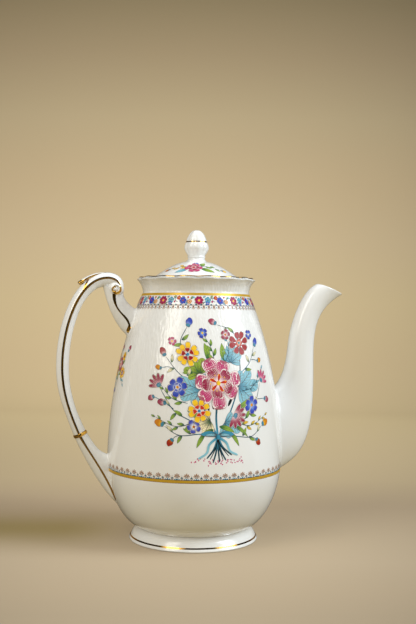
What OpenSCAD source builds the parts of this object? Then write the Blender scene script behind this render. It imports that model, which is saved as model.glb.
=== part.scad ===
// Tall bone-china coffee pot with a lift-off lid.
// Baluster body on a hollow foot, scalloped collar, swan-neck spout, scrolled handle.
// Units are millimetres. +Z is up, the table is z = 0, the spout points along +X and
// the handle stands on -X. The pot's own axis is the Z axis.

/* [Body] */
// Greatest outside radius of the body
body_r = 66.3; // [60:0.1:75]
// Height of the greatest radius above the table
body_r_z = 58.6; // [50:0.1:70]
// Outside radius at the top of the body, under the collar
neck_r = 41; // [36:0.1:48]
// Height of the top of the body
neck_z = 186; // [165:0.5:210]
// Outside radius at the bottom of the body, above the foot
base_r = 42.9; // [36:0.1:52]
// Thickness of the china wall
wall = 3; // [2.2:0.1:4]
// Thickness of the floor inside the foot
floor_t = 4; // [3:0.1:6]

/* [Foot] */
// Outside radius of the foot ring
foot_r = 48.9; // [44:0.1:56]
// Height of the foot ring, table to body
foot_h = 9.8; // [7:0.1:14]
// Width of the ring the pot stands on
foot_w = 4; // [3:0.1:6]

/* [Collar] */
// Outside radius at the crests of the scalloped lip
lip_r = 45.6; // [42:0.1:52]
// Height of the collar, body top to lip
collar_h = 11; // [8:0.1:16]
// Number of scallops round the lip and round the brim of the lid
scallops = 16; // [8:1:24]
// Depth of the notches between scallops
scallop_depth = 1.1; // [0:0.1:2]

/* [Lid] */
// Radius of the lid's brim at the crests of its scallops
brim_r = 44.2; // [40:0.1:50]
// Thickness of the brim
brim_t = 1.6; // [1.2:0.1:3]
// Radius where the brim turns up into the dome
dome_r = 32; // [26:0.1:36]
// Rise of the dome above the brim
dome_h = 11.8; // [8:0.1:18]
// Depth of the locating flange below the brim
flange_depth = 16; // [8:0.5:24]
// Thickness of the locating flange
flange_wall = 2.6; // [2:0.1:4]
// Play between the flange and the neck, on the radius
flange_play = 1.5; // [0.5:0.1:3]
// Seat gap between the collar's lip and the brim
seat_gap = 0.1; // [0.05:0.05:0.5]
// Diameter of the air hole at the back of the dome
vent_d = 3; // [2:0.1:5]

/* [Knob] */
// Greatest radius of the knob
knob_r = 9.5; // [7:0.1:13]
// Height of the knob above the dome
knob_h = 24.2; // [18:0.1:32]
// Number of lobes round the knob
knob_lobes = 8; // [6:1:12]
// Depth of the creases between lobes, as a share of the radius
lobe_depth = 0.08; // [0:0.01:0.2]

/* [Spout] */
// How far the tip stands out from the axis
spout_reach = 119.5; // [100:0.5:140]
// Height of the pouring tip
spout_tip_z = 188.1; // [170:0.1:200]
// Length of the oblique mouth, tip to back edge
spout_mouth = 22.7; // [16:0.1:30]
// Lowest point of the spout on the body
spout_low_z = 49.5; // [40:0.5:60]
// Highest point of the spout on the body
spout_high_z = 113; // [95:0.5:130]
// Half width of the spout where it leaves the body
spout_root_y = 16.5; // [12:0.1:22]
// Half width of the spout at mid height
spout_mid_y = 10.2; // [8:0.1:14]
// Half width of the spout at its mouth
spout_lip_y = 8; // [6:0.1:12]
// Thickness of the spout's wall
spout_wall = 2.4; // [1.8:0.1:3.5]
// Diameter of each strainer hole in the body behind the spout
strainer_d = 5; // [3:0.1:7]
// Distance from one strainer hole to the next
strainer_pitch = 8.5; // [7.5:0.1:9]

/* [Handle] */
// How far the side ridges of the handle stand out from the axis
handle_reach = 101.7; // [90:0.1:120]
// Height of the handle's farthest point
handle_reach_z = 131; // [115:0.5:145]
// Height of the ridges at the top of the scroll
handle_top_z = 197.4; // [180:0.1:210]
// Half width of the handle, ridge to ridge
handle_y = 5.2; // [4:0.1:8]
// Fullness of the handle outside its ridges
crown_out = 3.8; // [2.5:0.1:6]
// Fullness of the handle inside its ridges
crown_in = 5.8; // [4:0.1:8]
// Height of the raised band on the handle
band_z = 79.6; // [60:0.1:95]
// Radius of the rolled scroll at the top
scroll_r = 6.6; // [5:0.1:9]
// Half width of the rolled scroll
scroll_y = 6.2; // [5:0.1:8]
// Half width of the roots where they meet the body
root_y = 6.8; // [5:0.1:10]
// Lowest point of the lower root on the body
root_low_z = 28.3; // [20:0.1:40]
// Highest point of the lower root on the body
root_high_z = 64.3; // [50:0.1:75]
// How far the free tip of the thumb leaf stands off the bow
leaf_rise = 2.8; // [1:0.1:5]

/* [Gilding] */
// Width of the gilt bands on the body
gilt_w = 1.9; // [1:0.1:3]
// How far the gilding stands proud of the glaze
gilt_proud = 0.1; // [0.05:0.01:0.3]
// Height of the middle of the lower gilt band
low_band_z = 54; // [45:0.5:65]
// Height of the middle of the gilt band under the collar
neck_band_z = 184.9; // [170:0.1:200]
// Width of the gilt line on the handle's ridges
gilt_line = 1.1; // [0.6:0.1:2]

/* [Hidden] */
$fn = 96;
bed = 0.4; // depth that each luted part is bedded into its neighbour
gilt_bed = 0.6; // depth that the gold line of the foot runs under its surface
root_bed = 1.2; // depth of the handle's roots in the wall, which they meet at a slant
rim_z = neck_z + collar_h;
flare = lip_r - neck_r;
seat_z = rim_z + seat_gap;
neck_in = neck_r - wall;
flange_r = neck_in - flange_play;
dome_z = seat_z + brim_t + 0.3;
knob_z = dome_z + dome_h;
top_z = knob_z + knob_h;
china = [0.95, 0.94, 0.91];
gilt = [0.83, 0.63, 0.22];

// point of a cubic curve through four control points
function cub(p, t) = let (u = 1 - t)
  u*u*u*p[0] + 3*u*u*t*p[1] + 3*u*t*t*p[2] + t*t*t*p[3];
// direction of that curve
function dcub(p, t) = let (u = 1 - t,
  d = 3*u*u*(p[1] - p[0]) + 6*u*t*(p[2] - p[1]) + 3*t*t*(p[3] - p[2])) d / norm(d);
// a run of n steps along the curve, leaving out the first point when skip is 1
function run(p, n, skip = 0) = [for (i = [skip:n]) cub(p, i/n)];
function rev(a) = [for (i = [len(a) - 1:-1:0]) a[i]];
function mix(a, b, t) = a + (b - a)*t;

// outside profile of the body, bottom to top
foot_flare = foot_r - base_r;
belly = [body_r - base_r, body_r_z - foot_h];
shoulder = [body_r - neck_r, neck_z - body_r_z];
low_out = [[base_r, foot_h], [base_r + 0.655*belly[0], foot_h + 0.152*belly[1]],
  [body_r, body_r_z - 0.35*belly[1]], [body_r, body_r_z]];
high_out = [[body_r, body_r_z], [body_r, body_r_z + 0.453*shoulder[1]],
  [neck_r + 0.407*shoulder[0], neck_z - 0.178*shoulder[1]], [neck_r, neck_z]];
outside = concat(run(low_out, 12), run(high_out, 18, 1));
// inside profile, bottom to top
low_in = [[base_r - 2.4*wall, foot_h + floor_t],
  [base_r + 0.49*belly[0], foot_h + floor_t + 0.103*belly[1]],
  [body_r - wall, body_r_z - 0.35*belly[1]], [body_r - wall, body_r_z]];
high_in = [for (p = high_out) p - [wall, 0]];
inside = concat(run(low_in, 10), run(high_in, 16, 1));
wall_table = [for (p = concat(run(low_out, 40), run(high_out, 80, 1))) [p[1], p[0]]];
// outside radius of the body at height z
function r_at(z) = lookup(z, wall_table);
// point in the wall, d below its outside, at height z and half width y, on the side sx
function on_wall(sx, y, z, d) = [sx*sqrt(pow(r_at(z) - d, 2) - y*y), y, z];

// skin over rings of equal length; each ring is a list of 3-D points.
// ends are closed with a fan about their middle
module skin(rings) {
  n = len(rings[0]);
  m = len(rings);
  mid = function (r) [for (k = [0:2]) [for (p = r) p[k]]*[for (p = r) 1/len(r)]];
  pts = concat([for (r = rings) each r], [mid(rings[0]), mid(rings[m - 1])]);
  polyhedron(points = pts, convexity = 8, faces = concat(
    [for (i = [0:m - 2]) for (j = [0:n - 1]) let (k = (j + 1) % n)
      each [[i*n + j, i*n + k, (i + 1)*n + j], [i*n + k, (i + 1)*n + k, (i + 1)*n + j]]],
    [for (j = [0:n - 1]) [m*n, (j + 1) % n, j]],
    [for (j = [0:n - 1]) [m*n + 1, (m - 1)*n + j, (m - 1)*n + (j + 1) % n]]));
}

// skin whose last ring joins its first, for rings that go once round the axis
module wreath(rings) {
  n = len(rings[0]);
  m = len(rings);
  polyhedron(points = [for (r = rings) each r], convexity = 8, faces =
    [for (i = [0:m - 1]) for (j = [0:n - 1]) let (k = (j + 1) % n, h = (i + 1) % m)
      each [[i*n + j, i*n + k, h*n + j], [i*n + k, h*n + k, h*n + j]]]);
}

// closed outline of [r, z, share of the scallop] carried round the axis
function petal(a, n) = abs(cos(a*n/2)) - 1;
module scalloped(outline, n, depth, steps) {
  wreath([for (i = [0:steps - 1]) let (a = 360*i/steps)
    [for (p = outline) let (r = p[0] + depth*p[2]*petal(a, n))
      [r*cos(a), r*sin(a), p[1]]]]);
}

// lens-shaped section: ridges at g, crowns at o and i, ridge half width h
lens_n = 16;
function lens(o, g, i, h, e = 1.5) = [for (k = [0:lens_n - 1])
  let (b = 360*k/lens_n, c = b < 180 ? o : i, s = pow(abs(sin(b)), e),
    p = g + (c - g)*s) [p[0], h*cos(b), p[1]]];
function seated(ring, sx, d) = [for (p = ring) on_wall(sx, p[1], p[2], d)];

// ring of gilding on the body between two heights
module gilt_ring(z0, z1) {
  zs = [for (i = [0:4]) mix(z0, z1, i/4)];
  rotate_extrude() polygon(concat([for (z = zs) [r_at(z) + gilt_proud, z]],
    [for (z = rev(zs)) [r_at(z) - 0.25, z]]));
}

// ---- body ----

module body_shell() color(china) difference() {
  rotate_extrude() polygon(concat([[0, foot_h]], outside, rev(inside),
    [[0, foot_h + floor_t]]));
  strainer();
}

// three rows of three holes through the wall, inside the spout's root
module strainer() {
  zc = (spout_low_z + spout_high_z)/2;
  for (i = [-1:1]) for (k = [-1:1])
    translate([body_r - 14, i*strainer_pitch, zc + k*strainer_pitch]) rotate([0, 90, 0])
      cylinder(d = strainer_d, h = 20);
}

module foot_ring() color(china) rotate_extrude() polygon([
  [base_r - 3.5, foot_h + bed], [base_r - 0.3, foot_h + bed], [base_r, foot_h - 0.1],
  [base_r + 0.19*foot_flare, 0.87*foot_h], [base_r + 0.42*foot_flare, 0.72*foot_h],
  [base_r + 0.6*foot_flare, 0.56*foot_h], [base_r + 0.74*foot_flare, 0.39*foot_h],
  [base_r + 0.86*foot_flare, 0.27*foot_h], [foot_r - 0.2, 0.16*foot_h], [foot_r, 0.9],
  [foot_r - 0.3, 0.3], [foot_r - 1.2, 0], [foot_r - 2.6, 0],
  [foot_r - foot_w, 0.6], [foot_r - foot_w - 0.7, 2.6], [base_r - 1.4, foot_h - 4]]);

module neck_collar() color(china) scalloped([
  [neck_in, neck_z - bed, 0], [neck_r - 0.02, neck_z - bed, 0],
  [neck_r - 0.3, neck_z + 0.11*collar_h, 0], [neck_r + 0.1, neck_z + 0.29*collar_h, 0.05],
  [lip_r - 0.8*flare, rim_z - 0.49*collar_h, 0.2], [lip_r - flare/2, rim_z - 0.27*collar_h, 0.5],
  [lip_r - 0.2*flare, rim_z - 0.12*collar_h, 0.85], [lip_r - 0.1, rim_z - 0.6, 1],
  [lip_r, rim_z - 0.25, 1], [lip_r - 0.3, rim_z, 1], [lip_r - 0.75*wall, rim_z, 0.8],
  [lip_r - 1.05*wall, rim_z - 0.7, 0.6], [lip_r - flare/2 - 0.8*wall, rim_z - 0.27*collar_h, 0.3],
  [neck_in + 0.24*flare, rim_z - 0.51*collar_h, 0.1],
  [neck_in + 0.2, neck_z + 0.22*collar_h, 0]],
  scallops, scallop_depth, scallops*6);

// ---- spout ----

// far edge of the spout, root to tip, and near edge, root to back of the mouth
sw = spout_reach - body_r;
sh = spout_tip_z - spout_low_z;
far_a = [[r_at(spout_low_z) - bed, spout_low_z],
  [spout_reach - 0.639*sw, spout_low_z + 0.072*sh],
  [spout_reach - 0.451*sw, spout_tip_z - 0.853*sh],
  [spout_reach - 0.451*sw, spout_tip_z - 0.491*sh]];
far_b = [far_a[3], far_a[3] + [0, 0.244*sh],
  [spout_reach - 0.513*sw, spout_tip_z - 0.107*sh], [spout_reach, spout_tip_z]];
near_a = [[r_at(spout_high_z) - bed, spout_high_z],
  [spout_reach - 0.899*sw, spout_high_z + 0.061*sh],
  [spout_reach - 0.859*sw, spout_tip_z - 0.371*sh],
  [spout_reach - 0.8365*sw, spout_tip_z - 0.275*sh]];
near_end = far_b[3] + spout_mouth*[-cos(21), sin(21)];
near_b = [near_a[3], near_a[3] + [0.019*sw, 0.08*sh],
  near_end - spout_mouth*[0.612, 0.26], near_end];
far_pts = concat(run(far_a, 10), run(far_b, 14, 1));
near_pts = concat([for (i = [0:10]) cub(near_a, 0.5*i/10)],
  [for (i = [1:5]) cub(near_a, 0.5 + 0.5*i/5)], [for (i = [1:9]) cub(near_b, i/9)]);
spout_steps = len(far_pts) - 1;
// half width of the spout at share t of its length
function spout_y(t) = lookup(t, [[0, spout_root_y], [0.12, mix(spout_root_y, spout_mid_y, 0.42)],
  [0.25, mix(spout_root_y, spout_mid_y, 0.74)], [0.42, spout_mid_y],
  [0.7, mix(spout_mid_y, spout_lip_y, 0.6)], [1, spout_lip_y]]);
spout_n = 28;
// ring of the spout at step i, inset by w from the outside
function spout_ring(i, w) = let (t = i/spout_steps, f = far_pts[i], n = near_pts[i],
    c = (f + n)/2, a = (f - n)/2, la = norm(a), ka = (la - w)/la, y = spout_y(t) - w,
    beak = 0.24*pow(t, 4))
  [for (k = [0:spout_n - 1]) let (b = 360*k/spout_n, p = c + a*ka*cos(b))
    [p[0], y*sin(b)*(1 - beak*cos(b)), p[1]]];

// wall of the spout between steps a and b
module spout_wall_of(a, b) {
  outer = [for (i = [a:b]) i == 0 ? seated(spout_ring(0, 0), 1, bed)
    : spout_ring(i, 0)];
  inner = [for (i = [a:b]) i == 0 ? seated(spout_ring(0, spout_wall), 1, bed)
    : spout_ring(i, spout_wall*(i > spout_steps - 2 ? 0.8 : 1))];
  wreath(concat(outer, rev(inner)));
}
spout_join = 13;
module spout_base() color(china) spout_wall_of(0, spout_join);
module spout_neck() color(china) spout_wall_of(spout_join, spout_steps);

// ---- handle ----

hx = -handle_reach;
hw = handle_reach - neck_r;
lift = handle_top_z - handle_reach_z;
fall = handle_reach_z - band_z;
bow_a = [[hx + 0.226*hw, band_z], [hx + 0.109*hw, band_z + 0.309*fall],
  [hx, handle_reach_z - 0.385*fall], [hx, handle_reach_z]];
bow_b = [bow_a[3], bow_a[3] + [0, 0.506*lift], [hx + 0.221*hw, handle_top_z],
  [hx + 0.549*hw, handle_top_z]];
bow_c = [bow_b[3], bow_b[3] + [0.092*hw, 0], [hx + 0.699*hw, handle_top_z - 0.455*scroll_r],
  [hx + 0.699*hw, handle_top_z - 1.06*scroll_r]];
// [point, direction] along the ridges of the bow
bow = concat([for (i = [0:9]) [cub(bow_a, i/9), dcub(bow_a, i/9)]],
  [for (i = [1:12]) [cub(bow_b, i/12), dcub(bow_b, i/12)]],
  [for (i = [1:5]) [cub(bow_c, i/5), dcub(bow_c, i/5)]]);
bow_steps = len(bow) - 1;
function bow_out(t) = lookup(t, [[0, 0.95*crown_out], [0.1, 0.84*crown_out],
  [0.25, 0.97*crown_out], [0.4, crown_out], [0.9, 0.97*crown_out], [1, 0.9*crown_out]]);
function bow_in(t) = lookup(t, [[0, crown_in], [0.12, 0.92*crown_in], [0.35, crown_in],
  [0.6, 0.93*crown_in], [0.72, 1.06*crown_in], [0.82, 1.3*crown_in], [0.9, crown_in],
  [1, 0.8*crown_in]]);
function bow_y(t) = lookup(t, [[0, handle_y + 0.3], [0.2, handle_y], [0.75, handle_y],
  [1, handle_y + 0.3]]);
function bow_ring(i, grow = 0) = let (t = i/bow_steps, p = bow[i][0], d = bow[i][1],
    n = [-d[1], d[0]])
  lens(p + n*(bow_out(t) + grow), p, p - n*(bow_in(t) + grow), bow_y(t) + grow);

module handle_bow() color(china) skin([for (i = [0:bow_steps]) bow_ring(i)]);

// middle of the rolled scroll
eye = [hx + 0.651*hw, handle_top_z - 1.303*scroll_r];
module handle_scroll() color(china) translate([eye[0], 0, eye[1]]) rotate([90, 0, 0])
  rotate_extrude() polygon([[0, -scroll_y + 1.6], [1.5, -scroll_y + 0.7],
    [3, -scroll_y], [4.9, -scroll_y + 0.3], [6.1, -scroll_y + 1.3], [scroll_r, -scroll_y + 2.8],
    [scroll_r, scroll_y - 2.8], [6.1, scroll_y - 1.3], [4.9, scroll_y - 0.3],
    [3, scroll_y], [1.5, scroll_y - 0.7], [0, scroll_y - 1.6]]);

function by(x, z) = eye + scroll_r*[x, z];
function wall_by(z, out) = let (h = eye[1] - z*scroll_r) [-r_at(h) - out*scroll_r, h];
up_out = [by(1, -0.09), by(0.53, -1.27), wall_by(2.65, -0.1), wall_by(2.17, -0.09)];
up_mid = [by(-0.15, -0.15), by(-0.41, -3.03), wall_by(2.65, 0.68), wall_by(4.59, 0)];
up_in = [by(-1.29, 0.1), by(-0.77, -1.74), by(-0.03, -4.09), wall_by(5.3, 0)];
up_steps = 10;
module handle_upper_root() color(china) skin([for (i = [0:up_steps]) let (t = i/up_steps,
    ring = lens(cub(up_out, t), cub(up_mid, t), cub(up_in, t),
      mix(handle_y, root_y, t*t), mix(1.5, 1.1, t)))
  i == up_steps ? seated(ring, -1, root_bed) : ring]);

low_at = bow[0][0];
low_dir = bow[0][1];
low_side = [-low_dir[1], low_dir[0]];
drop = band_z - root_low_z;
gap = -low_at[0] - r_at(root_high_z);
function down(z) = root_low_z + z*drop;
function wall_at(z, out) = [-r_at(z) - out*gap, z];
low_outer = [low_at + low_side*0.95*crown_out, low_at + [0.25*gap, -0.4*drop],
  wall_at(down(0.13), 0.27), wall_at(down(0), 0)];
low_ridge = [low_at, low_at + [0.38*gap, -0.26*drop], wall_at(down(0.325), -0.046),
  wall_at(down(0.053), 0)];
low_inner = [low_at - low_side*crown_in, low_at + [0.69*gap, -0.244*drop],
  wall_at(root_high_z + 0.088*drop, 0.37), wall_at(root_high_z, 0)];
low_steps = 10;
module handle_lower_root() color(china) skin([for (i = [low_steps:-1:0]) let (t = i/low_steps,
    ring = lens(cub(low_outer, t), cub(low_ridge, t), cub(low_inner, t),
      mix(handle_y + 0.3, root_y, t*t), mix(1.5, 1.1, t)))
  i == low_steps ? seated(ring, -1, root_bed) : ring]);

// low fillet round the handle where the root begins
module handle_band() color(gilt) {
  n = [for (k = [0:4]) low_at + low_dir*(k - 2)*0.65];
  g = [0.05, 0.5, 0.65, 0.5, 0.05];
  skin([for (k = [0:4]) lens(n[k] + low_side*(0.95*crown_out + g[k]), n[k],
    n[k] - low_side*(crown_in + g[k]), handle_y + 0.3 + g[k])]);
}

// leaf lying on the back of the bow, from its top down to a free tip
leaf_steps = 12;
function leaf_at(s) = let (t = mix(0.985, 0.68, s), d = dcub(bow_b, t))
  cub(bow_b, t) + [-d[1], d[0]]*(crown_out - 0.8 + (leaf_rise + 0.8)*pow(max(0, s), 1.6));
module handle_thumb_leaf() color(china) skin([for (i = [leaf_steps:-1:0])
  let (t = i/leaf_steps, p = leaf_at(t), q = leaf_at(t + 0.01) - leaf_at(t - 0.01),
    d = q/norm(q), n = [d[1], -d[0]],
    h = lookup(t, [[0, 0.8], [0.3, 2.4], [0.6, 3.3], [0.85, 3.1], [1, 1.7]]),
    k = lookup(t, [[0, 0.5], [0.4, 0.9], [1, 0.75]]))
  lens(p + n*k, p, p - n*k, h, 1.2)]);

// ---- lid ----

dome_top = [[dome_r, dome_z], [0.844*dome_r, dome_z + 0.297*dome_h],
  [0.5625*dome_r, knob_z - 0.136*dome_h], [0.926*knob_r, knob_z]];
dome_under = [[dome_r - wall, seat_z], [0.797*dome_r, seat_z + 0.16*dome_h],
  [0.531*dome_r, knob_z - 0.14*dome_h - 1.1*wall], [0.156*dome_r, knob_z - 1.1*wall]];
module lid_dome() color(china) difference() {
  rotate_extrude() polygon(concat([[0, knob_z - 1.07*wall]], rev(run(dome_under, 10)),
    [[dome_r, seat_z]], run(dome_top, 14), [[0, knob_z]]));
  rotate([0, 0, 155]) translate([0.594*dome_r, 0, seat_z - 5]) cylinder(d = vent_d, h = 30);
}

module lid_brim() color(china) scalloped([
  [dome_r - bed, seat_z, 0], [brim_r - 1, seat_z, 1], [brim_r - 0.3, seat_z + 0.3, 1],
  [brim_r, seat_z + 0.8, 1], [brim_r - 0.3, seat_z + 1.3, 1],
  [brim_r - 1.2, seat_z + brim_t - 0.1, 0.9], [brim_r - 4, seat_z + brim_t - 0.15, 0.5],
  [brim_r - 8, seat_z + brim_t, 0.1], [dome_r - bed, dome_z, 0]],
  scallops, scallop_depth, scallops*6);

module lid_flange() color(china) rotate_extrude() polygon([
  [flange_r - flange_wall, seat_z + bed], [flange_r, seat_z + bed],
  [flange_r, seat_z - flange_depth + 1], [flange_r - 0.8, seat_z - flange_depth],
  [flange_r - flange_wall + 0.8, seat_z - flange_depth],
  [flange_r - flange_wall, seat_z - flange_depth + 1]]);

// [radius share, height share, share of the lobing] from the dome up
knob_out = [[0.91, 0, 0], [0.8, 0.045, 0], [0.7, 0.09, 0], [0.68, 0.135, 0],
  [0.725, 0.15, 0], [0.725, 0.178, 0], [0.69, 0.195, 0], [0.74, 0.235, 0.4],
  [0.87, 0.315, 0.8], [0.97, 0.395, 1], [1, 0.45, 1], [0.975, 0.525, 1],
  [0.9, 0.6, 0.7], [0.85, 0.637, 0.4], [0.825, 0.69, 0.5], [0.755, 0.77, 0.6],
  [0.6, 0.88, 0.8], [0.41, 0.96, 1], [0.24, 0.997, 1], [0.13, 1, 0.8], [0.06, 0.985, 0]];
function knob_ring(r, z, k, n) = [for (i = [0:n - 1]) let (a = -360*i/n,
  q = r*(1 + lobe_depth*k*petal(a, knob_lobes))) [q*cos(a), q*sin(a), z]];
module lid_knob() color(china) skin([for (p = knob_out)
  knob_ring(p[0]*knob_r, knob_z - bed + p[1]*(knob_h + bed), p[2], knob_lobes*6)]);

// ---- gilding ----

module neck_gold_band() color(gilt)
  gilt_ring(neck_band_z - gilt_w/2, neck_band_z + gilt_w/2);
module lower_gold_band() color(gilt)
  gilt_ring(low_band_z - gilt_w/2, low_band_z + gilt_w/2);
module foot_gold_line() color(gilt) rotate_extrude() polygon([
  [base_r + 0.88*foot_flare - gilt_bed, 0.25*foot_h],
  [base_r + 0.88*foot_flare + gilt_proud, 0.25*foot_h],
  [base_r + 0.775*foot_flare + gilt_proud, 0.36*foot_h],
  [base_r + 0.775*foot_flare - 0.95*gilt_bed, 0.36*foot_h]]);

module handle_gold_lines() color(gilt) for (s = [-1, 1])
  skin([for (i = [1:bow_steps]) let (t = i/bow_steps, p = bow[i][0], d = bow[i][1],
      n = [-d[1], d[0]], y = s*(bow_y(t) - 0.1), w = gilt_line/2)
    [for (b = [0:60:300]) let (q = p + n*w*cos(s*b))
      [q[0], y + 0.75*w*sin(s*b)*s, q[1]]]]);

module lid_gold_rim() color(gilt) scalloped([
  [brim_r - 0.6, seat_z + 0.5, 1], [brim_r + gilt_proud - 0.03, seat_z + 0.55, 1],
  [brim_r + gilt_proud, seat_z + 0.8, 1], [brim_r - 0.2, seat_z + 1.45, 1],
  [brim_r - 0.9, seat_z + 1.5, 1]], scallops, scallop_depth, scallops*6);

module knob_gold_line() {
  z = knob_z + 0.637*knob_h;
  r = 0.85*knob_r;
  n = knob_lobes*6;
  color(gilt) wreath([for (q = [[r - 0.4, z - 0.5], [r + gilt_proud + 0.12, z - 0.5],
      [r + gilt_proud, z + 0.4], [r - 0.45, z + 0.4]]) rev(knob_ring(q[0], q[1], 0.4, n))]);
}

body_shell();
foot_ring();
neck_collar();
spout_base();
spout_neck();
handle_bow();
handle_scroll();
handle_upper_root();
handle_lower_root();
handle_thumb_leaf();
handle_band();
lid_dome();
lid_brim();
lid_flange();
lid_knob();
neck_gold_band();
lower_gold_band();
foot_gold_line();
handle_gold_lines();
lid_gold_rim();
knob_gold_line();
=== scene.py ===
"""Tall bone-china coffee pot, glazed, gilded and hand-enamelled.

Every surface is a numpy grid: a profile turned round the pot's axis, a section carried along a
path, or a small flat blade laid on the glaze. Lengths are written in millimetres and turned into
metres when the mesh is made. +Z is up, the spout is on +X, the handle on -X, the front on -Y.
"""

import math

import bpy
import numpy as np
from mathutils import Matrix, Vector


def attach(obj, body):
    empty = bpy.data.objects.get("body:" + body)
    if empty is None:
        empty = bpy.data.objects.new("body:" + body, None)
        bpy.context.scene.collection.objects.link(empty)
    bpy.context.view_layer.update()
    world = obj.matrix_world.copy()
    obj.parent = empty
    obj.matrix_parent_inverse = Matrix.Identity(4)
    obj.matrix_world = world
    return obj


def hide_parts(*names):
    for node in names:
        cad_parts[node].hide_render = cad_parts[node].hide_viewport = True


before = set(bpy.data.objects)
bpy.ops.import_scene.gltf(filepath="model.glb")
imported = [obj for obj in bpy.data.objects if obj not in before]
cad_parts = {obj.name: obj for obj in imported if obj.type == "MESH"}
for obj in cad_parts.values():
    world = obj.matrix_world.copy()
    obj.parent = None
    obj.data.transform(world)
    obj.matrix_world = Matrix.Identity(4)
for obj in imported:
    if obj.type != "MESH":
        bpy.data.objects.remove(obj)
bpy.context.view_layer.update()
TAU = 2 * math.pi
MM = 0.001


# ---------------------------------------------------------------- curves

def cub(p, t):
    """Cubic curve: (1-t)^3 p0 + 3(1-t)^2 t p1 + 3(1-t) t^2 p2 + t^3 p3, for an array of t."""
    p, t = np.asarray(p, float), np.asarray(t, float)[..., None]
    u = 1 - t
    return u**3 * p[0] + 3 * u * u * t * p[1] + 3 * u * t * t * p[2] + t**3 * p[3]


def run(p, n, skip=0):
    """n equal steps of t along a cubic curve, without the first `skip` points."""
    return cub(p, np.arange(skip, n + 1) / n)


def spline(points, n):
    """Catmull-Rom curve through the points: n samples at equal steps of the point number."""
    p = np.asarray(points, float)
    p = np.vstack([2 * p[0] - p[1], p, 2 * p[-1] - p[-2]])
    s = np.linspace(0, len(p) - 3 - 1e-9, n)
    k = s.astype(int)
    t = (s - k)[:, None]
    a, b, c, d = p[k], p[k + 1], p[k + 2], p[k + 3]
    return 0.5 * (2 * b + (c - a) * t + (2 * a - 5 * b + 4 * c - d) * t**2
                  + (3 * b - a - 3 * c + d) * t**3)


def evened(p, n):
    """The same line of points, resampled at n equal steps of its length."""
    p = np.asarray(p, float)
    s = np.r_[0, np.cumsum(np.linalg.norm(np.diff(p, axis=0), axis=1))]
    q = np.linspace(0, s[-1], n)
    return np.stack([np.interp(q, s, p[:, k]) for k in range(p.shape[1])], 1)


def heading(p):
    """Unit direction along a line of points, by central differences."""
    d = np.gradient(np.asarray(p, float), axis=0)
    return d / np.linalg.norm(d, axis=1, keepdims=True)


def leftward(d):
    """Directions in a plane, each turned a quarter to the left."""
    return np.stack([-d[:, 1], d[:, 0]], 1)


def ease(x, a, b):
    """0 below a, 1 above b, and 3x^2 - 2x^3 between."""
    x = np.clip((np.asarray(x, float) - a) / (b - a), 0, 1)
    return x * x * (3 - 2 * x)


# ---------------------------------------------------------------- meshes

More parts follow.
